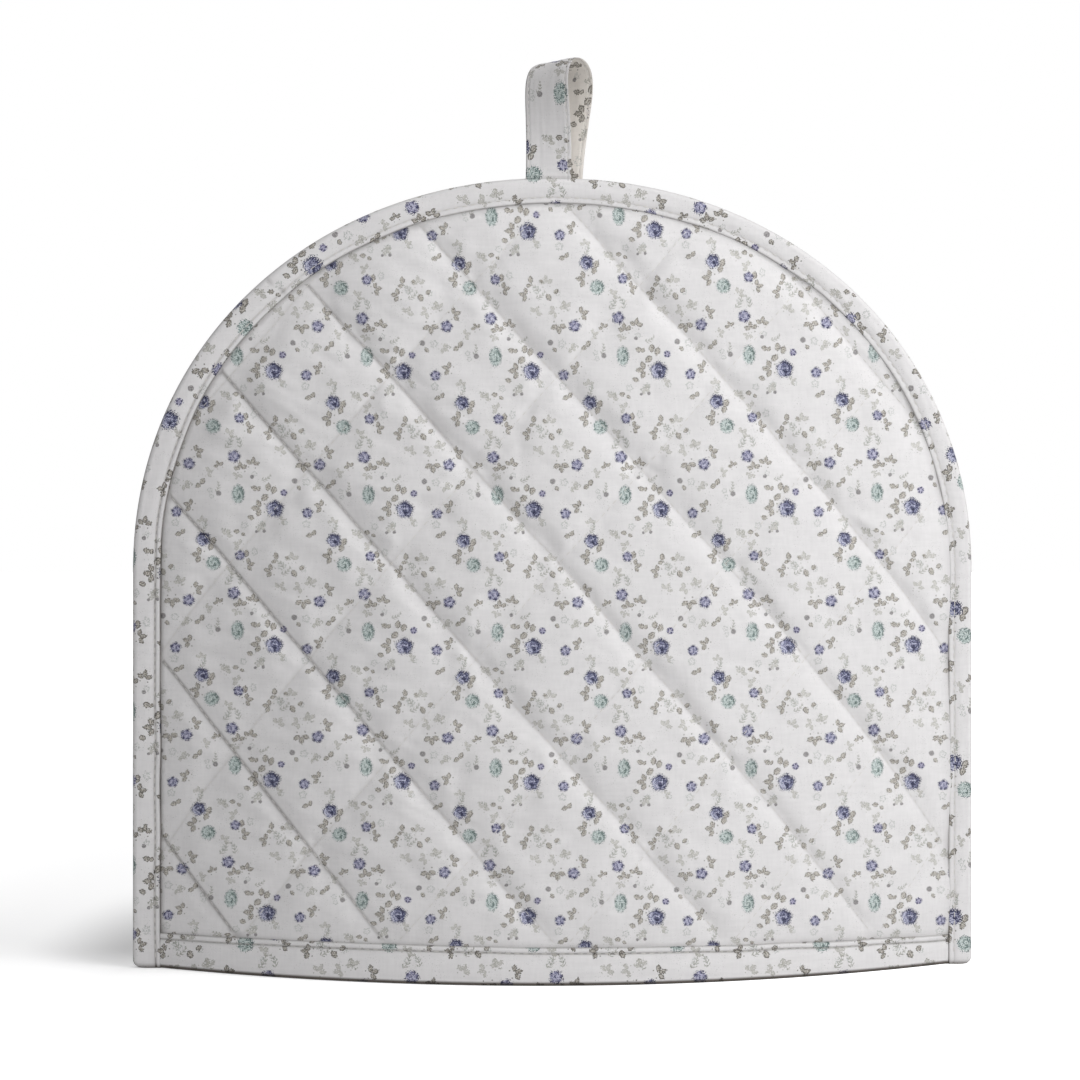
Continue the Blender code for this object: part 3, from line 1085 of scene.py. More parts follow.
def dress_cloth(
    board: Board,
    shader: Node,
    texture: ClothTexture,
    colour: Value,
    yarns: float,
    bump: float,
) -> None:
    """Gives a shader its cloth colour, with the weave's tint and relief.

    Args:
        board: the material's board.
        shader: its Principled shader.
        texture: the shared weave.
        colour: the cloth's colour, plain or printed.
        yarns: yarns a millimetre.
        bump: strength of the relief.
    """
    seat = Flow(board, board.node("ShaderNodeTexCoord").outputs["Object"])
    millimetres = seat.stretch(*(1.0 / MILLIMETRE,) * 3)
    height, tint = texture.group.place(board, Place=millimetres, Yarns=yarns)
    board.feed(shader.inputs["Base Color"], board.mix("RGBA", 1.0, colour, tint, blend_type="MULTIPLY"))
    relief = board.node("ShaderNodeBump")
    normal = board.run(relief, Strength=bump, Distance=0.06 * MILLIMETRE, Height=height)
    board.feed(shader.inputs["Normal"], normal)


@dataclass
class Wardrobe:
    """Every finish of the cosy, made once."""

    quilted: Material = field(init=False)
    binding: Material = field(init=False)
    loop: Material = field(init=False)
    loop_inside_painted_warm_light: Material = field(init=False)
    inner: Material = field(init=False)
    thread: Material = field(init=False)

    def __post_init__(self) -> None:
        """Makes the finishes, with one print and one weave between them."""
        pattern, texture = RosePrint(RoseChart()), ClothTexture()
        self.quilted = PrintedCloth("quilted_rose_cloth").make(pattern, texture)
        self.binding = PrintedCloth("binding_rose_cloth", softness=0.10).make(pattern, texture)
        self.loop = PrintedCloth("loop_rose_cloth", softness=0.10).make(pattern, texture)
        # The loop's inner face: the same print on a warmer cloth, as painted warm light bounced inside the
        # loop.
        inside = PrintedCloth("loop_inside_warm_lit_rose_cloth", (0.820, 0.778, 0.727, 1.0), 0.10)
        self.loop_inside_painted_warm_light = inside.make(pattern, texture)
        self.inner = PlainCloth("inner_cloth").make(texture)
        self.thread = PlainCloth("sewing_thread", (0.74, 0.72, 0.69, 1.0), 8.0, 0.2).make(texture)


# ---- sewing


@dataclass(frozen=True)
class StitchRow:
    """Machine stitches laid along lines on the cloth."""

    length: float = 0.0026
    gap: float = 0.0007
    radius: float = 0.00017
    sink: float = 0.00025
    rings: int = 6
    sides: int = 6

    def cut(self, line: Array, facing: Array) -> tuple[Array, Array, Array]:
        """Divides a line into stitches.

        Args:
            line: its points, close together.
            facing: the cloth's outward direction at each.

        Returns:
            Each stitch's start, end and outward direction.
        """
        along = lengths(line)
        starts = np.arange(self.gap, along[-1] - self.length, self.length + self.gap)
        start, end, out = (
            np.stack([np.interp(at, along, of[:, k]) for k in range(3)], axis=1)
            for at, of in (
                (starts, line), (starts + self.length, line), (starts + self.length / 2.0, facing)
            )
        )
        return start, end, unit(out)

    def sew(self, name: str, lines: Lines, material: Material) -> Piece:
        """Makes one piece of all the stitches along some lines.

        Args:
            name: the piece's name.
            lines: each line's points and outward directions.
            material: the thread.

        Returns:
            The piece.
        """
        cuts = [self.cut(line, facing) for line, facing in lines if len(line) > 2]
        start, end, out = (np.concatenate([cut[k] for cut in cuts]) for k in range(3))
        share = np.linspace(0.0, 1.0, self.rings)
        angle = np.linspace(0.0, 2.0 * math.pi, self.sides, endpoint=False)
        across = np.cross(unit(end - start), out)
        lift = (self.radius + self.sink) * np.sin(math.pi * share) ** 0.5 - self.sink
        round_off = self.radius * (0.35 + 0.65 * np.sin(math.pi * share) ** 0.4)
        core = start[:, None] + (end - start)[:, None] * share[None, :, None]
        core = core + out[:, None] * lift[None, :, None]
        ring = (
            across[:, None, None] * np.cos(angle)[None, None, :, None]
            + out[:, None, None] * np.sin(angle)[None, None, :, None]
        )
        points = core[:, :, None] + ring * round_off[None, :, None, None]
        one, size = tube_faces(self.rings, self.sides, flip=True), self.rings * self.sides
        faces = [tuple(k + size * n for k in face) for n in range(len(start)) for face in one]
        return make_piece(name, points.reshape(-1, 3), faces, [material])


# ---- padded panels


@dataclass(frozen=True)
class Crease:
    """A soft fold in a panel: a trough, or a ridge where its height is above 0."""

    x: float
    z: float
    turn: float  # degrees from level, anticlockwise seen from the front
    length: float
    width: float
    height: float

    def relief(self, x: Array, z: Array) -> Array:
        """How far it lifts the cloth at each place."""
        cosine, sine = math.cos(math.radians(self.turn)), math.sin(math.radians(self.turn))
        along = ((x - self.x) * cosine + (z - self.z) * sine) / self.length
        across = ((z - self.z) * cosine - (x - self.x) * sine) / self.width + 0.6 * along**2
        return self.height * np.exp(-(across**2) - along**4)


# Each layer of puckers, how far from its line it reaches and how far from it it is bare.
PUCKERS = (
    (Ripple(0.8, 2.6, 0.08, 9.0, 11.3), 5.5, 1.3),
    (Ripple(1.4, 6.5, -0.05, 12.0, 7.7), 10.0, 2.5),
    (Ripple(1.5, 10.5, -0.02, 17.0, 5.3), 15.0, 2.2),
)
# The wadding's long, short and broad unevenness.
CRUMPLES = (Ripple(0.9, 13.0, 0.0, 4.6), Ripple(0.55, 5.2, 0.3, 4.4), Ripple(1.7, 21.0, 0.0, 17.0))


@dataclass
class QuiltedPanel:
    """A padded panel: printed outside, plain inside and stitched in diamonds."""

    side: Side
    form: CosyForm
    lay: PrintLay
    creases: tuple[Crease, ...] = ()
    puff_out: float = 0.0031
    puff_in: float = 0.0012
    dome: float = 0.16  # share of the puff that swells evenly over a diamond
    valley: float = 0.0043  # from a deep stitched line to where the padding is nearly full
    low_valley: float = 0.0060
    low_depth: Pair = (0.80, 0.34)  # of the looser lines, at the left and the right
    edge_rise: Pair = (0.0018, 0.013)  # reach of the quick rise and of the slow one
    edge_share: float = 0.42  # what the quick rise gives of the padding
    steps: int = 36  # mesh steps along a diamond's side
    inner_steps: int = 12
    line_spacing: float = 0.0469  # from one stitched line to the next
    side_length: float = 0.0472  # along a diamond's side
    wave: float = 0.010  # how far the stitched lines stray, in shares of a diamond
    pucker: float = 0.00040
    crumple: float = 0.00040
    crumple_shares: Pair = (0.7, 1.1)  # of it all over, and more at the left
    uneven_fill: float = 0.12  # how much one diamond's filling differs from the next one's
    left_fill: float = 0.22  # how much fuller the diamonds high at the left are
    # Painted shade in the deep stitched lines, more at the left, away from the light.
    line_shades: Pair = (0.14, 0.56)  # of the deep lines, and more at the left
    # For the outer and the inner face: between rows of points, columns, and space to the rows.
    row_steps: Pair = (0.0028, 0.0060)
    row_columns: tuple[int, int] = (100, 50)
    row_space: Pair = (0.0012, 0.003)
    first_row: float = 0.0040
    row_reach: float = 0.1465
    tightness: float = 0.6  # how much the points draw together at the stitched lines
    seed: int = 11

    def stray(self, down_right: Array, up_right: Array) -> Arrays:
        """How far the quilting strays from its straight lines, in shares of a diamond."""
        first = soft_noise(up_right * 2.3, down_right * 1.1, self.seed)
        second = soft_noise(down_right * 2.3, up_right * 1.1, self.seed + 1)
        return self.wave * first, self.wave * second

    def shares(self, x: Array, z: Array) -> Arrays:
        """A place counted in diamonds, with the quilting's small strays."""
        down_right, up_right = self.form.quilt_shares(x, z)
        first, second = self.stray(down_right, up_right)
        return down_right + first, up_right + second

    def beside(self, x: Array, z: Array) -> Array:
        """0 at the bindings and 1 away from them.

        Args:
            x: places across the cosy.
            z: their heights.

        Returns:
            The share of the padding that is left there.
        """
        seen = -self.side.value * x
        found = 1.0
        for away in (self.form.bare_distance(seen, z), z - self.form.hem_top(seen)):
            quick, slow = (smooth_step(away / reach) for reach in self.edge_rise)
            found = found * (self.edge_share * quick + (1.0 - self.edge_share) * slow)
        return found

    def pillow(self, down_right: Array, up_right: Array) -> Array:
        """0 on the deep stitched lines and 1 in a diamond's middle.

        Args:
            down_right: the share that is whole on the deep lines.
            up_right: the share that is whole on the crossing ones.

        Returns:
            How full the padding is.
        """
        rightward = smooth_step((down_right - up_right + 4.2) / 4.0)
        low_depth = self.low_depth[0] + (self.low_depth[1] - self.low_depth[0]) * rightward
        deep = np.abs(down_right - np.round(down_right)) * self.line_spacing / self.valley
        low = np.abs(up_right - np.round(up_right)) * self.line_spacing / self.low_valley
        swell = np.abs(np.sin(math.pi * down_right) * np.sin(math.pi * up_right))
        full = 1.0 - self.dome + self.dome * swell
        loose = 1.0 - low_depth * np.exp(-(low**1.6))
        return (1.0 - np.exp(-(deep**1.5))) * loose * full

    def puckers(self, across: Array, along: Array, seed: int) -> Array:
        """Small gathers beside one family of stitched lines.

        Args:
            across: the share that is a whole number on these lines.
            along: the share along them.
            seed: picks the pattern.

        Returns:
            Their relief, from about -2 to 2.
        """
        line = np.round(across)
        off = (across - line) * self.line_spacing / MILLIMETRE
        length = along * self.side_length / MILLIMETRE
        found = 0.0 * off
        for number, (layer, reach, bare) in enumerate(PUCKERS):
            share = bell(off, reach) * (1.0 - bell(off, bare))
            found = found + layer.height(length, off, line, seed + number) * share
        return found

    def crumples(self, x: Array, z: Array) -> Array:
        """Soft unevenness of the wadding and the cloth, longer across than up.

        Args:
            x: places across the cosy.
            z: their heights.

        Returns:
            Their relief, from about -3 to 3.
        """
        mirror = -float(self.side.value)
        x, z = x * mirror / MILLIMETRE, z / MILLIMETRE
        lean = z + 0.10 * x
        heights = (lean, lean, z)
        return sum(
            layer.height(x, up, 0.0, self.seed + 5 + number)
            for number, (layer, up) in enumerate(zip(CRUMPLES, heights))
        )

    def outer(self, x: Array, z: Array) -> Array:
        """How far the printed cloth stands out from the seam plane.

        Args:
            x: places across the cosy.
            z: their heights.

        Returns:
            The distances.
        """
        down_right, up_right = self.shares(x, z)
        cell = (np.floor(down_right), np.floor(up_right))
        fill = soft_noise(cell[0] * 1.7 + 0.5, cell[1] * 1.3 + 0.5, self.seed + 8)
        pillow = self.pillow(down_right, up_right)
        small = self.pucker * self.puckers(down_right, up_right, self.seed + 2)
        small = small + self.pucker * self.puckers(up_right, down_right, self.seed + 4)
        seen = -self.side.value * x
        leftward = 1.0 - smooth_step((seen + 0.15) / 0.20)
        high = smooth_step((z - 0.10) / 0.12)
        fullness = 1.0 + self.uneven_fill * fill + self.left_fill * leftward * high
        crumple = self.crumple * (self.crumple_shares[0] + self.crumple_shares[1] * leftward)
        small = small + crumple * self.crumples(x, z) * np.minimum(pillow * 1.3, 1.0)
        for crease in self.creases:
            small = small + crease.relief(x, z) * np.minimum(pillow * 1.6, 1.0)
        relief = (self.puff_out * pillow * fullness + small) * self.beside(x, z)
        return self.form.half_seam_gap + self.form.bulge(x, z) + self.form.panel_edge + relief

    def line_shade(self, x: Array, z: Array) -> Array:
        """How much painted shade lies on the cloth at its stitched lines and its rims.

        Args:
            x: places across the cosy.
            z: their heights.

        Returns:
            The painted shade, 0 where there is none.
        """
        down_right, up_right = self.shares(x, z)
        deep = np.abs(down_right - np.round(down_right)) * self.line_spacing
        low = np.abs(up_right - np.round(up_right)) * self.line_spacing
        seen = -self.side.value * x
        # Painted shade: lines darker at the left, away from the light, a painted shadow beside the
        # bindings' lips, and 0.30 under the bindings.
        left = 1.0 - smooth_step((seen + 0.13) / 0.14)
        lines = (self.line_shades[0] + self.line_shades[1] * left) * bell(deep, 0.0005 + 0.0002 * left)
        lines = lines + 0.14 * left * bell(low, 0.0005)
        rim = self.form.bare_distance(seen, z)
        hem = z - self.form.hem_top(seen)
        edge = (0.15 + 0.25 * left) * bell(rim, 0.0008)
        edge = edge + (0.12 + 0.15 * left) * bell(hem, 0.0008)
        return np.where((rim > -0.001) & (hem > -0.001), lines + edge, 0.30)

    def inner(self, x: Array, z: Array) -> Array:
        """How far the plain inner cloth stands out from the seam plane."""
        pillow = self.pillow(*self.shares(x, z))
        puff = self.puff_in * pillow * self.beside(x, z)
        return self.form.half_seam_gap + self.form.bulge(x, z) - puff

    def boundary(self) -> tuple[Array, ArchWalk]:
        """The panel's edge in the seam plane, and the walk that it and the mouth follow.

        Returns:
            The edge's points, as x and z, and the walk.
        """
        form = self.form
        heights = tuple(np.linspace(form.panel_lift, form.side_height, 40)[:-1])
        walk = ArchWalk(form, heights, 120)
        x, z = walk.points(form.panel_inset)
        reach = form.half_width - form.mouth_inset
        hem_x = np.linspace(reach, -reach, 101)
        bottom = np.stack([hem_x, np.full(101, form.panel_lift)], axis=1)
        return np.concatenate([np.stack([x, z], axis=1), bottom]), walk

    def layout(self, steps: int) -> tuple[Array, list[list[int]], list[int]]:
        """Points of one face of the panel and the triangles between them.

        Args:
            steps: mesh steps along a diamond's side.

        Returns:
            The points in the seam plane, the triangles, and the numbers of the edge's points.
        """
        edge, walk = self.boundary()
        form, count = self.form, len(edge)
        mouth = np.stack(walk.points(form.mouth_inset), axis=1)[1:-1]
        face = int(steps < self.steps)
        rows = np.arange(self.first_row, form.hem_line + 0.0030, self.row_steps[face])
        columns = np.linspace(-self.row_reach, self.row_reach, self.row_columns[face])
        low = np.stack(np.meshgrid(columns, rows), axis=-1).reshape(-1, 2)
        even = np.arange(-7 * steps, 7 * steps) / steps
        tight = even - self.tightness * np.sin(2.0 * math.pi * even) / (2.0 * math.pi)
        first, second = (grid.ravel() for grid in np.meshgrid(tight, tight))
        stray = self.stray(first, second)
        x, z = form.place_of_shares(first - stray[0], second - stray[1])
        space = self.row_space[face]
        keep = (z > rows[-1] + space) & (z < form.top - form.mouth_inset - space)
        keep[keep] = form.arch_radius(x[keep], z[keep], form.mouth_inset + space) < 1.0
        lattice = np.stack([x[keep], z[keep]], axis=1)
        points = np.concatenate([edge, mouth, low, lattice])
        lines = [(k, (k + 1) % count) for k in range(count)]
        chain = [count - 1, *range(count, count + len(mouth)), len(walk.angles)]
        lines += list(zip(chain, chain[1:]))
        found = delaunay_2d_cdt([Vector(point) for point in points.tolist()], lines, [], 1, 1e-7)
        numbers = {given: made for made, group in enumerate(found[3]) for given in group}
        return np.array(found[0]), found[2], [numbers[k] for k in range(count)]

    def build(self, materials: list[Material]) -> Piece:
        """Makes the panel of its printed face, its plain face and the edge between them.

        Args:
            materials: the printed cloth and the plain one.

        Returns:
            The panel.
        """
        sign = self.side.value
        outer, outer_faces, outer_edge = self.layout(self.steps)
        inner, inner_faces, inner_edge = self.layout(self.inner_steps)
        start = len(outer)
        flat = np.concatenate([outer, inner])
        out = np.concatenate([self.outer(*outer.T), self.inner(*inner.T)])
        points = np.stack([flat[:, 0], sign * out, flat[:, 1]], axis=1)
        faces = [tuple(face) for face in outer_faces]
        faces += [tuple(start + k for k in reversed(face)) for face in inner_faces]
        edge = list(zip(outer_edge, inner_edge))
        for (here, under), (after, under_after) in zip(edge, edge[1:] + edge[:1]):
            faces.append((here, start + under, start + under_after, after))
        if self.side is Side.BACK:
            faces = [face[::-1] for face in faces]
        numbers = [0] * len(outer_faces) + [1] * len(inner_faces) + [0] * len(edge)
        place = with_painted_shade(self.lay.lay(points, mirrored=self.side is Side.BACK), self.line_shade(*flat.T))
        name = self.side.name.lower()
        return make_piece(
            f"quilted_panel_{name}", points, faces, materials, f"{name}_panel",
            place, numbers, sharp=80.0,
        )

    def stitched_lines(self, step: float = 0.0006) -> Lines:
        """The quilting's lines, each with its points and outward directions.

        Args:
            step: between two points of a line.

        Returns:
            The lines.
        """
        along = np.arange(-6.5, 6.5, step / self.side_length)
        lines = []
        for family in (0, 1):
            for number in range(-6, 7):
                fixed = np.full(len(along), float(number))
                pair = (fixed, along) if family == 0 else (along, fixed)
                stray = self.stray(*pair)
                x, z = self.form.place_of_shares(pair[0] - stray[0], pair[1] - stray[1])
                inside = self.form.arch_radius(x, z, self.form.mouth_inset + 0.0004) < 1.0
                inside &= z > self.form.hem_line
                lines.append(self.raise_line(x[inside], z[inside]))
        return [line for line in lines if len(line[0]) > 12]

    def raise_line(self, x: Array, z: Array) -> Arrays:
        """Lifts a line of the seam plane onto the printed cloth.

        Args:
            x: places across the cosy.
            z: their heights.

        Returns:
            Its points and their outward directions.
        """
        points = np.stack([x, self.side.value * self.outer(x, z), z], axis=1)
        small = 0.5 * MILLIMETRE
        slope_x = (self.form.bulge(x + small, z) - self.form.bulge(x - small, z)) / (2.0 * small)
        slope_z = (self.form.bulge(x, z + small) - self.form.bulge(x, z - small)) / (2.0 * small)
        facing = np.stack([-slope_x, np.full(len(x), float(self.side.value)), -slope_z], axis=1)
        return points, facing


# ---- bindings


@dataclass(frozen=True)
class TapeEdge:
    """The stitched edge of a folded binding, as a height over the tape's flat face."""

    lip: float = 0.0022
    rise: float = 0.00045
    groove: float = 0.00032
    groove_width: float = 0.00034
    round_off: float = 0.0006
    drop: float = 0.0009
    # Painted shade in the groove and along the folded edge, and how far each reaches.
    groove_shade: float = 0.55
    groove_reach: float = 0.00042
    edge_shade: float = 1.12
    edge_reach: float = 0.00036
    slack: float = 0.45  # what the edge keeps of its shade where the lip isn't proud
    stops: Floats = (
        0.0, 0.00003, 0.0001, 0.0002, 0.00035, 0.0006, 0.0009, 0.0012, 0.0015,
        0.00175, 0.0019, 0.00203, 0.00213, 0.00222, 0.00232, 0.00245, 0.0026, 0.0028,
    )

    def height(self, back: Array, full: Array | float = 1.0) -> Array:
        """Height over the flat face, at a distance back from the folded edge.

        Args:
            back: the distance.
            full: how proud the lip stands and how deep its groove is, 1 where it is fullest.

        Returns:
            The height.
        """
        hump = self.rise * np.sin(math.pi * np.clip(back / self.lip, 0.0, 1.0) ** 0.8)
        trough = self.groove * bell(back - self.lip, self.groove_width)
        roll = np.clip(1.0 - back / self.round_off, 0.0, 1.0)
        return (hump - trough) * full - self.drop * (1.0 - np.sqrt(1.0 - roll**2))

    def shade(self, back: Array, full: Array | float = 1.0) -> Array:
        """How much painted shade lies on the tape at its groove and at its folded edge."""
        groove = self.groove_shade * full * bell(back - self.lip, self.groove_reach)
        edge = self.edge_shade * (self.slack + (1.0 - self.slack) * full)
        return groove + edge * bell(back, self.edge_reach)


@dataclass
class ArchBinding:
    """The strip folded over both panels' edges, from floor to floor."""

    form: CosyForm
    lay: PrintLay
    edge: TapeEdge = TapeEdge()
    slot_inset: float = 0.0013
    slot: float = 0.00235  # half the slot's width
    tape: float = 0.0008
    band_rise: float = 0.0003
    crown: float = 0.0026
    crown_power: float = 2.2
    corner: float = 0.0028
    foot_heights: Floats = (0.0, 0.00015, 0.0004, 0.0008, 0.0013, 0.002, 0.0028, 0.0038)
    uneven: float = 0.00016
    gather: Ripple = Ripple(0.8, 3.1, 0.1, 5.0, 9.0)  # at its stitches
    broad: Ripple = Ripple(0.9, 11.0, 0.2, 4.0, 5.0)
    join_share: float = 0.268  # where two lengths of tape meet, as a share of the way over
    seed: int = 41

    def fullness(self, walk: ArchWalk) -> Array:
        """How proud the lip stands at each station: most on the left side."""
        return (0.22 + 0.78 * smooth_step((0.40 - walk.shares) / 0.40))[:, None]

    def join(self, walk: ArchWalk, back: Array) -> Array:
        """1 in the seam where two lengths of tape meet, slanting a little.

        Args:
            walk: the stations.
            back: distances from the strip's sewn edge.

        Returns:
            How strongly it shows, by station and column.
        """
        way = self.way(walk)
        middle = np.interp(self.join_share, walk.shares, way)
        return bell(way[:, None] - middle + 0.25 * back / MILLIMETRE, 0.45)

    def walk(self) -> ArchWalk:
        """The stations of its rings."""
        side = np.linspace(self.foot_heights[-1], self.form.side_height, 120)[1:-1]
        return ArchWalk(self.form, (*self.foot_heights, *side.tolist()), 330)

    def way(self, walk: ArchWalk) -> Array:
        """Distance along the arch at each station, in millimetres."""
        return lengths(np.stack(walk.points(0.0), axis=1)) / MILLIMETRE

    def width(self, walk: ArchWalk, sign: int) -> Array:
        """Depth of the strip at each station, on the front (-1) or the back (1).

        Args:
            walk: the stations.
            sign: -1 for the front and 1 for the back.

        Returns:
            The depths.
        """
        way, left, right = self.way(walk), self.form.left_band, self.form.right_band
        even = left + (right - left) * walk.shares
        if sign > 0:
            even = left + right - even
        return even + 0.00022 * soft_noise(way / 17.0, way * 0.0 + sign, self.seed)

    def half(self, walk: ArchWalk, sign: int) -> Arrays:
        """Half of the section at each station, from the lip to the crown's middle.

        Args:
            walk: the stations.
            sign: -1 for the front and 1 for the back.

        Returns:
            Insets and distances from the seam plane, by station and column.
        """
        width = self.width(walk, sign)[:, None]
        lip = width - np.array(self.edge.stops)[None]
        share = np.linspace(0.0, 1.0, 10)[None, 1:-1]
        band = lip[:, -1:] + (self.crown - lip[:, -1:]) * share
        angle = np.linspace(math.pi / 2.0, 0.0, 13)
        over = self.crown * (1.0 - np.cos(angle) ** (2.0 / self.crown_power))
        inset = np.concatenate([lip, band, np.broadcast_to(over, (len(width), 13))], axis=1)
        back = width - inset
        face = self.slot + self.tape
        along = np.clip((back - self.edge.lip) / (width - self.edge.lip - self.crown), 0.0, 1.0)
        out = face + self.edge.height(back, self.fullness(walk))
        out = out + self.band_rise * np.sin(math.pi * along)
        out[:, -13:] = face * np.sin(angle) ** (2.0 / self.crown_power)
        small = self.wrinkles(walk, back, sign) - 0.0003 * self.join(walk, back)
        return inset, out + small * smooth_step(out / face)

    def wrinkles(self, walk: ArchWalk, back: Array, sign: int) -> Array:
        """Small unevenness of the sewn strip.

        Args:
            walk: the stations.
            back: distances from the strip's sewn edge.
            sign: -1 for the front and 1 for the back.

        Returns:
            Heights over the even strip.
        """
        way, depth = self.way(walk)[:, None] + 0.0 * back, back / MILLIMETRE
        gather = self.gather.height(way, depth, sign, self.seed + 1)
        gather = gather * bell(depth - self.edge.lip / MILLIMETRE, 2.2)
        return self.uneven * (gather + self.broad.height(way, depth, sign, self.seed + 2))

    def trim(self, walk: ArchWalk) -> Array:
        """How far a foot is rounded off at each station."""
        height = walk.side_heights
        low = np.clip(self.corner - height, 0.0, self.corner)
        low = np.where(np.sin(walk.angles) > 1e-6, 0.0, low)
        return self.corner - np.sqrt(self.corner**2 - low**2)

    def build(self, material: Material) -> Piece:
        """Makes the strip, its slot and its two rounded feet.

        Args:
            material: its cloth.

        Returns:
            The strip.
        """
        walk = self.walk()
        trim = self.trim(walk)[:, None]
        outside, inside = [], []
        for sign in (-1, 1):
            width = self.width(walk, sign)[:, None]
            inset, out = self.half(walk, sign)
            x, z = walk.points(inset + trim * (1.0 - inset / width))
            outside.append(np.stack([x, sign * out, z], axis=-1))
            slot = np.concatenate(
                [width, width * 0.5, 0.0 * width + self.slot_inset, 0.0 * width + self.slot_inset],
                axis=1,
            )
            cut = np.maximum(trim - self.tape, 0.0)
            x, z = walk.points(slot + cut * (1.0 - slot / width))
            y = np.broadcast_to([self.slot, self.slot, self.slot, 0.0], x.shape)
            inside.append(np.stack([x, sign * y, z], axis=-1))
        outer = np.concatenate([outside[0], outside[1][:, -2::-1]], axis=1)
        inner = np.concatenate([inside[0], inside[1][:, -2::-1]], axis=1)
        points, faces = fold_strip(outer, inner)
        shade = [self.shade(walk, sign) for sign in (-1, 1)]
        shade = np.concatenate([shade[0], shade[1][:, -2::-1]], axis=1)
        place = with_painted_shade(self.place(outer, walk), shade).reshape(-1, 3)
        place = np.concatenate([place, self.lay.lay(inner.reshape(-1, 3))])
        return make_piece("bound_arch", points, faces, [material], "arch_binding", place)

    def shade(self, walk: ArchWalk, sign: int) -> Array:
        """How much painted shade lies on the strip, by station and column of a half.

        Args:
            walk: the stations.
            sign: -1 for the front and 1 for the back.

        Returns:
            The painted shade.
        """
        inset, _ = self.half(walk, sign)
        back = self.width(walk, sign)[:, None] - inset
        # Painted contact shadow at the feet, and painted shade on the crown, most on the left, away from
        # the light; the join adds a dark line where two tapes meet.
        foot = bell(walk.side_heights, 0.0011)[:, None]
        full = self.fullness(walk)
        crown = (0.15 + 0.5 * full) * bell(inset, 0.0005)
        return self.edge.shade(back, full) + 0.35 * self.join(walk, back) + foot + crown

    def place(self, outer: Array, walk: ArchWalk) -> Array:
        """The print on the strip: flat on the front, then on over the crown by length.

        Args:
            outer: its outer points, by station and column.
            walk: the stations.

        Returns:
            Places on the cloth.
        """
        place = self.lay.lay(outer)
        turn = len(self.edge.stops) + 8
        over, out = lengths(outer[:, turn:]), walk.outward()[:, None]
        place[:, turn:] = place[:, turn : turn + 1] + self.lay.count(
            out[..., 0] * over, out[..., 1] * over
        )
        return place

    def stitched_lines(self) -> Lines:
        """The rows of stitches in its two grooves.

        Returns:
            The lines.
        """
        walk = self.walk()
        lines = []
        for sign in (-1, 1):
            width = self.width(walk, sign)
            x, z = walk.points(width - self.edge.lip)
            back = np.full((len(width), 1), self.edge.lip)
            out = self.slot + self.tape + self.edge.height(back, self.fullness(walk))
            out = out + self.wrinkles(walk, back, sign)
            points = np.stack([x, sign * out[:, 0], z], axis=1)
            facing = np.broadcast_to([0.0, float(sign), 0.0], points.shape)
            lines.append((points[6:-6], facing[6:-6]))
        return lines


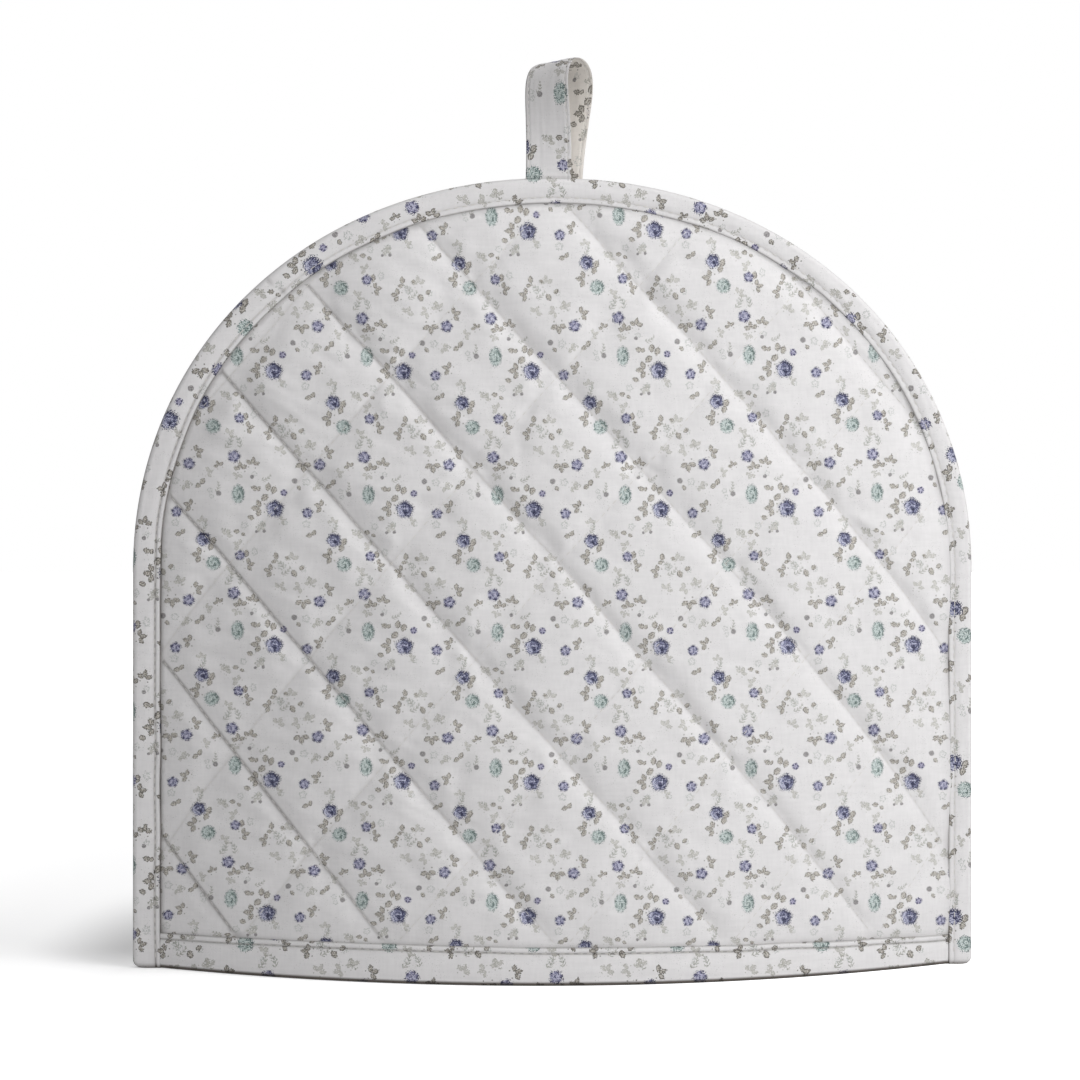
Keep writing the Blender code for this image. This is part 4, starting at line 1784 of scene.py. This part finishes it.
@dataclass
class HemBinding:
    """The strip folded over one panel's lower edge, flat on the floor."""

    side: Side
    form: CosyForm
    lay: PrintLay
    edge: TapeEdge = TapeEdge(edge_shade=0.60)
    slot: float = 0.0023
    tape: float = 0.0009
    inner_gap: float = 0.0004
    fold: float = 0.0014
    band_rise: float = 0.0003
    round_under: float = 0.0008
    # Painted contact shadow along the underside and lowest edge.
    contact_shade: float = 1.14  # where it meets the floor
    left_end: float = 0.1494
    right_end: float = 0.1505
    inner_end: float = 0.1464
    columns: int = 300
    uneven: float = 0.00016
    gather: Ripple = Ripple(0.8, 2.9, 0.1, 5.0, 9.0)  # at its stitches
    broad: Ripple = Ripple(0.8, 12.0, 0.0, 6.0, 3.0)
    seed: int = 61

    def top(self, x: Array) -> Array:
        """Height of its sewn edge at x."""
        way = x / MILLIMETRE + 200.0
        stray = 0.00025 * soft_noise(way / 19.0, 0.0 * way + self.side.value, self.seed)
        return self.form.hem_top(-self.side.value * x) + stray

    def wrinkles(self, x: Array, back: Array) -> Array:
        """Small unevenness of the sewn strip, mostly level.

        Args:
            x: places along the hem.
            back: distances from the strip's sewn edge.

        Returns:
            Heights over the even strip.
        """
        way, depth = x / MILLIMETRE + 200.0, back / MILLIMETRE
        sign = float(self.side.value)
        gather = self.gather.height(way, depth, sign, self.seed + 1)
        gather = gather * bell(depth - self.edge.lip / MILLIMETRE, 2.2)
        level = 0.8 * soft_noise(way / 19.0, depth / 2.3 + 5.0 * sign + 0.02 * way, self.seed + 2)
        broad = self.broad.height(way, depth, sign, self.seed + 3)
        ends = smooth_step(back / 0.001) * smooth_step((0.0135 - back) / 0.002)
        return self.uneven * (gather + level + broad) * ends

    def outer_rows(self, x: Array) -> Arrays:
        """The outer layer at each x, from its sewn edge down to the turn.

        Args:
            x: places along the hem.

        Returns:
            Heights, and distances out from the panel's inside.
        """
        top = self.top(x)[:, None]
        lip = top - np.array(self.edge.stops)[None]
        share = np.linspace(0.0, 1.0, 13)[None, 1:]
        low = lip[:, -1:] + (0.0022 - lip[:, -1:]) * share
        last = np.broadcast_to([0.0018, 0.0014, 0.0011, 0.0008], (len(x), 4))
        low = np.concatenate([low, last], axis=1)
        z = np.concatenate([lip, low], axis=1)
        back = top - z
        face = self.slot + self.tape
        along = np.clip((back - self.edge.lip) / (top - self.edge.lip - self.round_under), 0.0, 1.0)
        out = face + self.edge.height(back) + self.band_rise * np.sin(math.pi * along)
        return z, out + self.wrinkles(x[:, None] + 0.0 * z, back)

    def build(self, material: Material) -> Piece:
        """Makes the strip, with the slot that the panel's edge sits in.

        Args:
            material: its cloth.

        Returns:
            The strip.
        """
        sign = self.side.value
        share = np.linspace(0.0, 1.0, self.columns + 1)
        x = -self.left_end + (self.left_end + self.right_end) * share
        inner_x = self.inner_end * (2.0 * share - 1.0)
        z, out = self.outer_rows(x)
        angle = np.linspace(0.0, math.pi / 2.0, 7)[1:]
        face = self.slot + self.tape
        turn_z = self.round_under * (1.0 - np.sin(angle))
        turn_out = face - self.round_under * (1.0 - np.cos(angle))
        back = -self.inner_gap - self.tape
        top = self.top(inner_x)[:, None]
        outside = self.stack(sign, [
            (x, z, out),
            (x, turn_z, turn_out),
            (inner_x, np.array([0.0, 0.0006]), np.array([back + 0.0006, back])),
            (inner_x, top * np.linspace(0.2, 1.0, 5) - 0.0004, np.full(5, back)),
            (inner_x, top, np.array([back + 0.0004])),
        ])
        inside = self.stack(sign, [
            (x, self.top(x)[:, None] - 0.0001, np.array([self.slot])),
            (x, np.array([0.006, self.fold]), np.array([self.slot, self.slot])),
            (inner_x, np.array([self.fold]), np.array([-self.inner_gap])),
            (inner_x, top, np.array([-self.inner_gap])),
        ])
        points, faces = fold_strip(outside, inside)
        if self.side is Side.BACK:
            faces = [face[::-1] for face in faces]
        # Painted shade at the groove and folded edge, and a painted contact shadow low on the strip and
        # over its underside.
        shade = self.edge.shade(self.top(x)[:, None] - z)
        under = np.zeros((len(x), outside.shape[1] - z.shape[1]))
        under[:, : len(angle) + 2] = self.contact_shade
        low_shade = self.contact_shade * smooth_step((0.0017 - z) / 0.0009)
        shade = np.concatenate([shade + low_shade, under], axis=1)
        place = with_painted_shade(self.place(outside, z.shape[1]), shade).reshape(-1, 3)
        place = np.concatenate([place, self.lay.lay(inside.reshape(-1, 3))])
        name = self.side.name.lower()
        return make_piece(
            f"bound_hem_{name}", points, faces, [material], f"hem_binding_{name}", place
        )

    def stack(self, sign: int, rows: list[tuple[Array, Array, Array]]) -> Array:
        """Stands rows of points on the bowed panel.

        Args:
            sign: -1 for the front and 1 for the back.
            rows: places along the hem, heights and distances out, by place and row.

        Returns:
            The points, by place along the hem and row.
        """
        found = []
        for x, z, out in rows:
            z, out = np.broadcast_arrays(z + 0.0 * x[:, None], out + 0.0 * x[:, None])
            wide = x[:, None] + 0.0 * z
            y = sign * (self.form.half_seam_gap + self.form.bulge(wide, z) + out)
            found.append(np.stack([wide, y, z], axis=-1))
        return np.concatenate(found, axis=1)

    def place(self, outside: Array, turn: int) -> Array:
        """The print on the strip: flat outside, then on under the fold by length."""
        place = self.lay.lay(outside, mirrored=self.side is Side.BACK)
        under = lengths(outside[:, turn - 1 :])[:, 1:]
        place[:, turn:] = place[:, turn - 1 : turn] + self.lay.count(0.0 * under, -under)
        return place

    def stitched_lines(self) -> Lines:
        """The row of stitches in its groove.

        Returns:
            The line.
        """
        x = np.linspace(-self.left_end + 0.002, self.right_end - 0.002, 400)
        z = self.top(x) - self.edge.lip
        back = np.full((len(x), 1), self.edge.lip)
        out = self.slot + self.tape + self.edge.height(back) + self.wrinkles(x[:, None], back)
        points = self.stack(self.side.value, [(x, z[:, None], out)])[:, 0]
        slope = np.gradient(points[:, 1], x)
        facing = np.stack(
            [-slope * self.side.value, np.full(len(x), 1.0), 0.0 * x], axis=1
        ) * float(self.side.value)
        return [(points, facing)]


# ---- hanging loop


@dataclass
class HangingLoop:
    """A flat tape bent round from foot to foot, a little twisted."""

    form: CosyForm
    lay: PrintLay
    width: float = 0.0172
    thickness: float = 0.0009
    soft_edge: float = 8.0  # the section's power: lower is rounder
    sewn_in: float = 0.0008  # how far the feet reach down into the binding
    height: float = 0.0449
    foot: float = 0.0017
    fullness: float = 0.0160
    swell_right: float = 0.0022  # how far the back leg leans out to the right
    skew: float = 0.0023
    lean: float = 0.0018
    turn: float = math.radians(28)
    tilt: float = math.radians(7)
    rise_power: float = 0.75
    swell_power: float = 1.2
    edge_line: float = 0.0013  # from the tape's edge to its stitches
    # Painted shade: in the stitch lines, along the edges (more at the left), a painted contact shadow at
    # the feet, over the front leg (darker higher up) and on the inner face beside the front leg.
    seam_shade: float = 0.12
    edge_shades: Pair = (0.55, 0.15)  # of its left and its right edge
    foot_shade: float = 0.20
    front_shades: Pair = (0.05, 0.27)  # all over the front, and more higher up
    inner_shade: float = 0.08
    steps: int = 140
    seed: int = 81

    def frame(self, angle: Array) -> Arrays:
        """The tape's middle and its width direction, by angle from the front foot.

        Args:
            angle: 0 at the front foot and half a turn at the back one.

        Returns:
            Places and directions, one for each angle.
        """
        cosine, sine = np.cos(angle), np.sin(angle).clip(0.0)
        rise = sine**self.rise_power
        apart = -cosine * (self.foot + (self.fullness - self.foot) * sine**self.swell_power)
        turn, tilt = self.turn * rise, self.tilt * sine**2
        leaning = self.swell_right * sine * np.maximum(-cosine, 0.0)
        middle = np.stack(
            [
                self.lean * rise - self.skew * cosine + apart * np.sin(turn) + leaning,
                apart * np.cos(turn),
                self.form.top + self.form.clearance + (self.height - self.thickness) * rise,
            ],
            axis=1,
        )
        level = np.cos(tilt)
        across = np.stack([np.cos(turn) * level, -np.sin(turn) * level, np.sin(tilt)], axis=1)
        return middle, across

    def rails(self) -> tuple[Array, Array, Array, Array]:
        """The tape's middle, width and outward directions, and its length so far.

        Returns:
            The four, one row for each ring.
        """
        angle = math.pi / 2.0 * (1.0 - np.cos(math.pi * np.linspace(0.0, 1.0, self.steps + 1)))
        middle, across = self.frame(angle)
        small = 0.01
        ahead, _ = self.frame(np.minimum(angle + small, math.pi))
        behind, _ = self.frame(np.maximum(angle - small, 0.0))
        along = ahead - behind
        along[0], along[-1] = (0.0, 0.0, 1.0), (0.0, 0.0, -1.0)
        return middle, across, unit(np.cross(unit(along), across)), lengths(middle)

    def half_thickness(self, across: Array, length: Array, face: int) -> Array:
        """Half the tape's thickness over its face, with seams and slubs.

        Args:
            across: places across the tape.
            length: places along it.
            face: -1 for the outer face and 1 for the inner one.

        Returns:
            Half the thickness.
        """
        half = self.width / 2.0
        share = np.clip(np.abs(across) / half, 0.0, 1.0)
        body = self.thickness / 2.0 * (1.0 - share**self.soft_edge) ** 0.5
        seam = 0.00022 * bell(np.abs(across) - half + self.edge_line, 0.00035)
        slub = soft_noise(across / 0.0011 + 40.0, length / 0.016 + 3.0 * face, self.seed)
        bend = soft_noise(across / 0.006 + 20.0, length / 0.009 + 5.0 * face, self.seed + 1)
        inside = smooth_step((1.0 - share) / 0.12)
        return body + (0.00007 * slub + 0.00012 * bend) * inside - seam * inside

    def build(self, materials: list[Material]) -> Piece:
        """Makes the tape as one closed skin, from its outer and its inner cloth.

        Args:
            materials: the outer face's cloth and the inner one's, warmer with painted light bounced inside
                the loop.

        Returns:
            The tape.
        """
        middle, across, out, length = self.rails()
        middle[0, 2] -= self.sewn_in
        middle[-1, 2] -= self.sewn_in
        half = self.width / 2.0
        share = np.sin(np.linspace(-math.pi / 2.0, math.pi / 2.0, 45))
        wide = half * (0.55 * share + 0.45 * np.linspace(-1.0, 1.0, 45))[None, :]
        far = length[:, None] + 0.0 * wide
        wide = wide + 0.0 * far
        skins, places = [], []
        for face in (-1, 1):
            depth = self.half_thickness(wide, far, face)
            skin = middle[:, None] + across[:, None] * wide[..., None]
            skins.append(skin + out[:, None] * (face * depth)[..., None])
            places.append(self.place(wide, middle, far, face))
        ring = np.concatenate([skins[0], skins[1][:, -2:0:-1]], axis=1)
        place = np.concatenate([places[0], places[1][:, -2:0:-1]], axis=1)
        rings, count = ring.shape[:2]
        numbers = [int(k >= skins[0].shape[1] - 1) for k in range(count)] * (rings - 1) + [0, 0]
        return make_piece(
            "loop_tape", ring.reshape(-1, 3), tube_faces(rings, count), materials,
            "hanging_loop", place.reshape(-1, 3), numbers,
        )

    def place(self, wide: Array, middle: Array, far: Array, face: int) -> Array:
        """The print on the tape: upright and straight on the legs, and by length over the bend.

        Args:
            wide: places across the tape, by ring and column.
            middle: the tape's middle at each ring.
            far: the length so far, by ring and column.
            face: -1 for the outer face and 1 for the inner one.

        Returns:
            Places on the cloth, with their painted shade.
        """
        foot = self.lay.lay(np.array([[0.0, 0.0, self.form.top]]))[0]
        steps = np.diff(middle, axis=0)
        bend = smooth_step((middle[1:, 2] - self.form.top - 0.8 * self.height) / 0.005)
        climb = (1.0 - bend) * np.abs(steps[:, 2]) + bend * np.linalg.norm(steps, axis=1)
        climb = np.concatenate([[0.0], np.cumsum(climb)])[:, None]
        up = climb if face < 0 else climb[-1] - climb
        edge = self.width / 2.0 - np.abs(wide)
        # Painted shade at the stitches and edges, a painted contact shadow at the feet, more painted shade
        # up the front leg and on the inner face next to it.
        shade = self.seam_shade * bell(edge - self.edge_line, 0.00035)
        shade = shade + np.where(wide < 0.0, *self.edge_shades) * bell(edge, 0.0004)
        shade = shade + self.foot_shade * smooth_step((0.0006 - far) / 0.0006)
        front = 1.0 - smooth_step(far / far[-1] * 4.0 - 1.3)
        low, higher = self.front_shades
        shade = shade + (low + higher * smooth_step((far - 0.006) / 0.036)) * front
        if face > 0:
            shade = shade + self.inner_shade * smooth_step((0.0080 - wide) / 0.0070) * (1.0 - front)
        across = middle[:, 0][:, None] + wide
        return with_painted_shade(self.lay.count(across, up + 0.0 * wide) + foot, shade)

    def stitched_lines(self) -> Lines:
        """The rows of stitches along both edges, on both faces.

        Returns:
            The lines.
        """
        middle, across, out, length = self.rails()
        lines = []
        for edge in (-1.0, 1.0):
            wide = np.full(len(length), edge * (self.width / 2.0 - self.edge_line))
            for face in (-1, 1):
                depth = self.half_thickness(wide, length, face)[:, None]
                points = middle + across * wide[:, None] + out * depth * face
                lines.append((points[2:-2], (out * face)[2:-2]))
        return lines


# ---- studio


@dataclass(frozen=True)
class Studio:
    """A pale table top with painted light and painted shadows, a white room, soft lights and the camera.
    """

    floor_size: float = 30.0
    floor_drop: float = 0.0001
    # The table's painted light and painted shadows: a glow seen by the camera, least in a painted shadow
    # to the left of the cosy.
    painted_shadow_middle: Pair = (-0.158, 0.066)  # the floor is darkest here
    painted_shadow_size: Pair = (0.072, 0.135)
    painted_shadow_back: float = 0.38  # behind its middle the shadow falls off this much more slowly
    glow: Floats = (0.05, 0.40, 0.12, 0.45)  # there, and added outwards
    glow_reach: Floats = (0.0, 0.75, 2.6, 6.0)  # where each addition starts and ends
    right_glow: Floats = (-0.1, 0.15, 0.5)  # from this x to that one, so much is added
    # A painted shadow behind the cosy.
    behind: Floats = (0.20, 0.24, 0.42)  # shadow behind: half width, reach, depth
    ambient: float = 0.36
    # Each light's name, place, size and power.
    lights: tuple[tuple[str, Floats, float, float], ...] = (
        ("key_light", (0.51, -0.40, 0.70), 0.8, 4.55),
        ("fill_light", (-0.55, -1.50, 0.45), 1.2, 1.6),
        ("back_light", (0.45, 0.75, 0.60), 0.8, 1.6),
    )
    lens: float = 109.25
    film: float = 36.0

    def build(self) -> None:
        """Sets everything up."""
        self.build_floor()
        self.build_room()
        for light in self.lights:
            self.build_light(*light)
        self.build_camera()
        bpy.context.scene.view_settings.view_transform = "Standard"

    def build_floor(self) -> None:
        """A level white surface that the cosy stands on, glowing for the camera as painted light, least in
        its painted shadows.
        """
        half = self.floor_size / 2.0
        mesh = bpy.data.meshes.new("table_top")
        corners = [(-half, -half, 0.0), (half, -half, 0.0), (half, half, 0.0), (-half, half, 0.0)]
        mesh.from_pydata(corners, [], [(0, 1, 2, 3)])
        material, board, shader = new_material("white_table_painted_light", (0.90, 0.90, 0.90, 1.0), 0.8)
        shader.inputs["Specular IOR Level"].default_value = 0.0
        shader.inputs["Emission Color"].default_value = (1.0, 1.0, 1.0, 1.0)
        # Painted light: the table glows for the camera only, less in its painted shadows.
        glow = self.painted_table_light(Flow(board, board.node("ShaderNodeTexCoord").outputs["Object"]))
        seen = Flow(board, board.node("ShaderNodeLightPath").outputs["Is Camera Ray"])
        board.feed(shader.inputs["Emission Strength"], glow * seen)
        mesh.materials.append(material)
        floor = bpy.data.objects.new("table_top", mesh)
        floor.location.z = -self.floor_drop
        bpy.context.scene.collection.objects.link(floor)

    def painted_table_light(self, seat: Flow) -> Flow:
        """The table's painted light: least in the painted shadow at the left of the cosy and in the one
        behind it.

        Args:
            seat: where on the table a point lies.

        Returns:
            The painted light's strength there.
        """
        (middle_x, middle_y), (wide, deep) = self.painted_shadow_middle, self.painted_shadow_size
        x, y, _ = seat.split()
        across, along = (x - middle_x) * (1.0 / wide), (y - middle_y) * (1.0 / deep)
        along = along.least(along * self.painted_shadow_back)
        away = seat.board.math("SQRT", across * across + along * along)
        glow: Value = self.glow[0]
        for amount, near_end, far_end in zip(self.glow[1:], self.glow_reach, self.glow_reach[1:]):
            glow = away.rise(near_end, far_end) * amount + glow
        start, end, added = self.right_glow
        glow = x.rise(start, end) * added + glow
        half, reach, depth = self.behind
        taken = seat.stretch(1.0 / half, 1.0 / reach, 0.0).length().rise(1.0, 0.2) * depth
        return (glow - taken * x.rise(-0.160, -0.135) * y.rise(0.0, 0.04)).most(0.0)

    def build_room(self) -> None:
        """White behind the cosy, and a softer grey for the light that it gives."""
        world = bpy.data.worlds.new("white_room")
        world.use_nodes = True
        board = Board(world.node_tree)
        seen = Flow(board, board.node("ShaderNodeLightPath").outputs["Is Camera Ray"])
        grey = (self.ambient, self.ambient, self.ambient * 1.01, 1.0)
        colour = board.mix("RGBA", seen, grey, (1.0, 1.0, 1.0, 1.0))
        board.feed(world.node_tree.nodes["Background"].inputs["Color"], colour)
        bpy.context.scene.world = world

    def build_light(self, name: str, place: Floats, size: float, power: float) -> None:
        """A round soft light that faces the cosy.

        Args:
            name: its name.
            place: where it stands.
            size: its width.
            power: its power in watts.
        """
        data = bpy.data.lights.new(name, "AREA")
        data.shape = "DISK"
        data.size = size
        data.energy = power
        light = bpy.data.objects.new(name, data)
        light.location = place
        light.rotation_mode = "QUATERNION"
        light.rotation_quaternion = Vector(place).to_track_quat("Z", "Y")
        bpy.context.scene.collection.objects.link(light)

    def build_camera(self) -> None:
        """Level, a little to the left of the cosy's middle, with a long lens."""
        data = bpy.data.cameras.new("camera")
        data.lens = self.lens
        data.sensor_width = self.film
        camera = bpy.data.objects.new("camera", data)
        camera.location = PrintLay.eye
        camera.rotation_euler = (math.pi / 2.0, 0.0, -math.radians(PrintLay.turn))
        bpy.context.scene.collection.objects.link(camera)
        bpy.context.scene.camera = camera


# ---- the whole cosy


FRONT_CREASES = (
    (-0.033, 0.131, 80.0, 0.015, 0.0030, 0.0009),
    (-0.093, 0.155, -28.0, 0.012, 0.0030, -0.0009),
    (-0.013, 0.200, 82.0, 0.014, 0.0030, -0.0009),
    (-0.072, 0.107, 85.0, 0.010, 0.0025, -0.0008),
    (-0.037, 0.072, 85.0, 0.015, 0.0030, -0.0010),
    (0.116, 0.169, -30.0, 0.010, 0.0025, 0.0007),
    (0.029, 0.266, -60.0, 0.012, 0.0030, -0.0007),
    (-0.122, 0.138, -30.0, 0.010, 0.0025, -0.0009),
    (-0.056, 0.046, -55.0, 0.012, 0.0025, -0.0008),
    (0.139, 0.066, -65.0, 0.012, 0.0030, -0.0008),
    (0.071, 0.116, -10.0, 0.011, 0.0022, -0.0006),
)
BACK_CREASES = (
    (0.082, 0.142, -24.0, 0.013, 0.0030, -0.0008),
    (-0.020, 0.118, 78.0, 0.014, 0.0030, 0.0008),
    (0.024, 0.214, 84.0, 0.012, 0.0028, -0.0008),
    (-0.104, 0.176, 32.0, 0.011, 0.0026, -0.0007),
    (-0.061, 0.052, 58.0, 0.012, 0.0026, -0.0007),
)


@dataclass
class TeaCosy:
    """All the pieces of the cosy."""

    form: CosyForm = field(default_factory=CosyForm)
    panel_lay: PrintLay = PrintLay(
        (0.0488, 0.05225),
        (-0.00305, 0.0643),
        drift_across=(0.00064, 0.00013, -0.00055, -0.0023, -0.00112, -0.00305),
        drift_up=(-0.00097, 0.00011, 0.00049, 0.0012, 0.00135, 0.0024),
    )
    strip_lay: PrintLay = PrintLay((0.05492, 0.05873), (-0.1415, -0.1308))

    def build(self, wardrobe: Wardrobe) -> None:
        """Makes every piece.

        Args:
            wardrobe: the finishes.
        """
        for side in Side:
            self.build_side(side, wardrobe)
        arch = ArchBinding(self.form, self.strip_lay)
        bound = arch.build(wardrobe.binding)
        row = StitchRow().sew("arch_stitches", arch.stitched_lines(), wardrobe.thread)
        loop = HangingLoop(self.form, self.strip_lay)
        tape = loop.build([wardrobe.loop, wardrobe.loop_inside_painted_warm_light])
        row = StitchRow(0.0020, 0.0006, 0.00014).sew(
            "loop_stitches", loop.stitched_lines(), wardrobe.thread
        )

    def build_side(self, side: Side, wardrobe: Wardrobe) -> None:
        """Makes one quilted panel with its hem.

        Args:
            side: the front or the back.
            wardrobe: the finishes.
        """
        name = side.name.lower()
        creases = FRONT_CREASES if side is Side.FRONT else BACK_CREASES
        panel = QuiltedPanel(side, self.form, self.panel_lay, tuple(Crease(*row) for row in creases))
        piece = panel.build([wardrobe.quilted, wardrobe.inner])
        row = StitchRow(radius=0.00012, sink=0.0003).sew(
            f"quilting_stitches_{name}", panel.stitched_lines(), wardrobe.thread
        )
        hem = HemBinding(side, self.form, self.strip_lay)
        bound = hem.build(wardrobe.binding)
        hem_row = StitchRow().sew(
            f"hem_stitches_{name}", hem.stitched_lines(), wardrobe.thread
        )


def main() -> None:
    """Builds the cosy and its studio."""
    logging.basicConfig(level=logging.INFO, format="%(message)s")
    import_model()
    TeaCosy().build(Wardrobe())
    Studio().build()


if __name__ == "__main__":
    main()
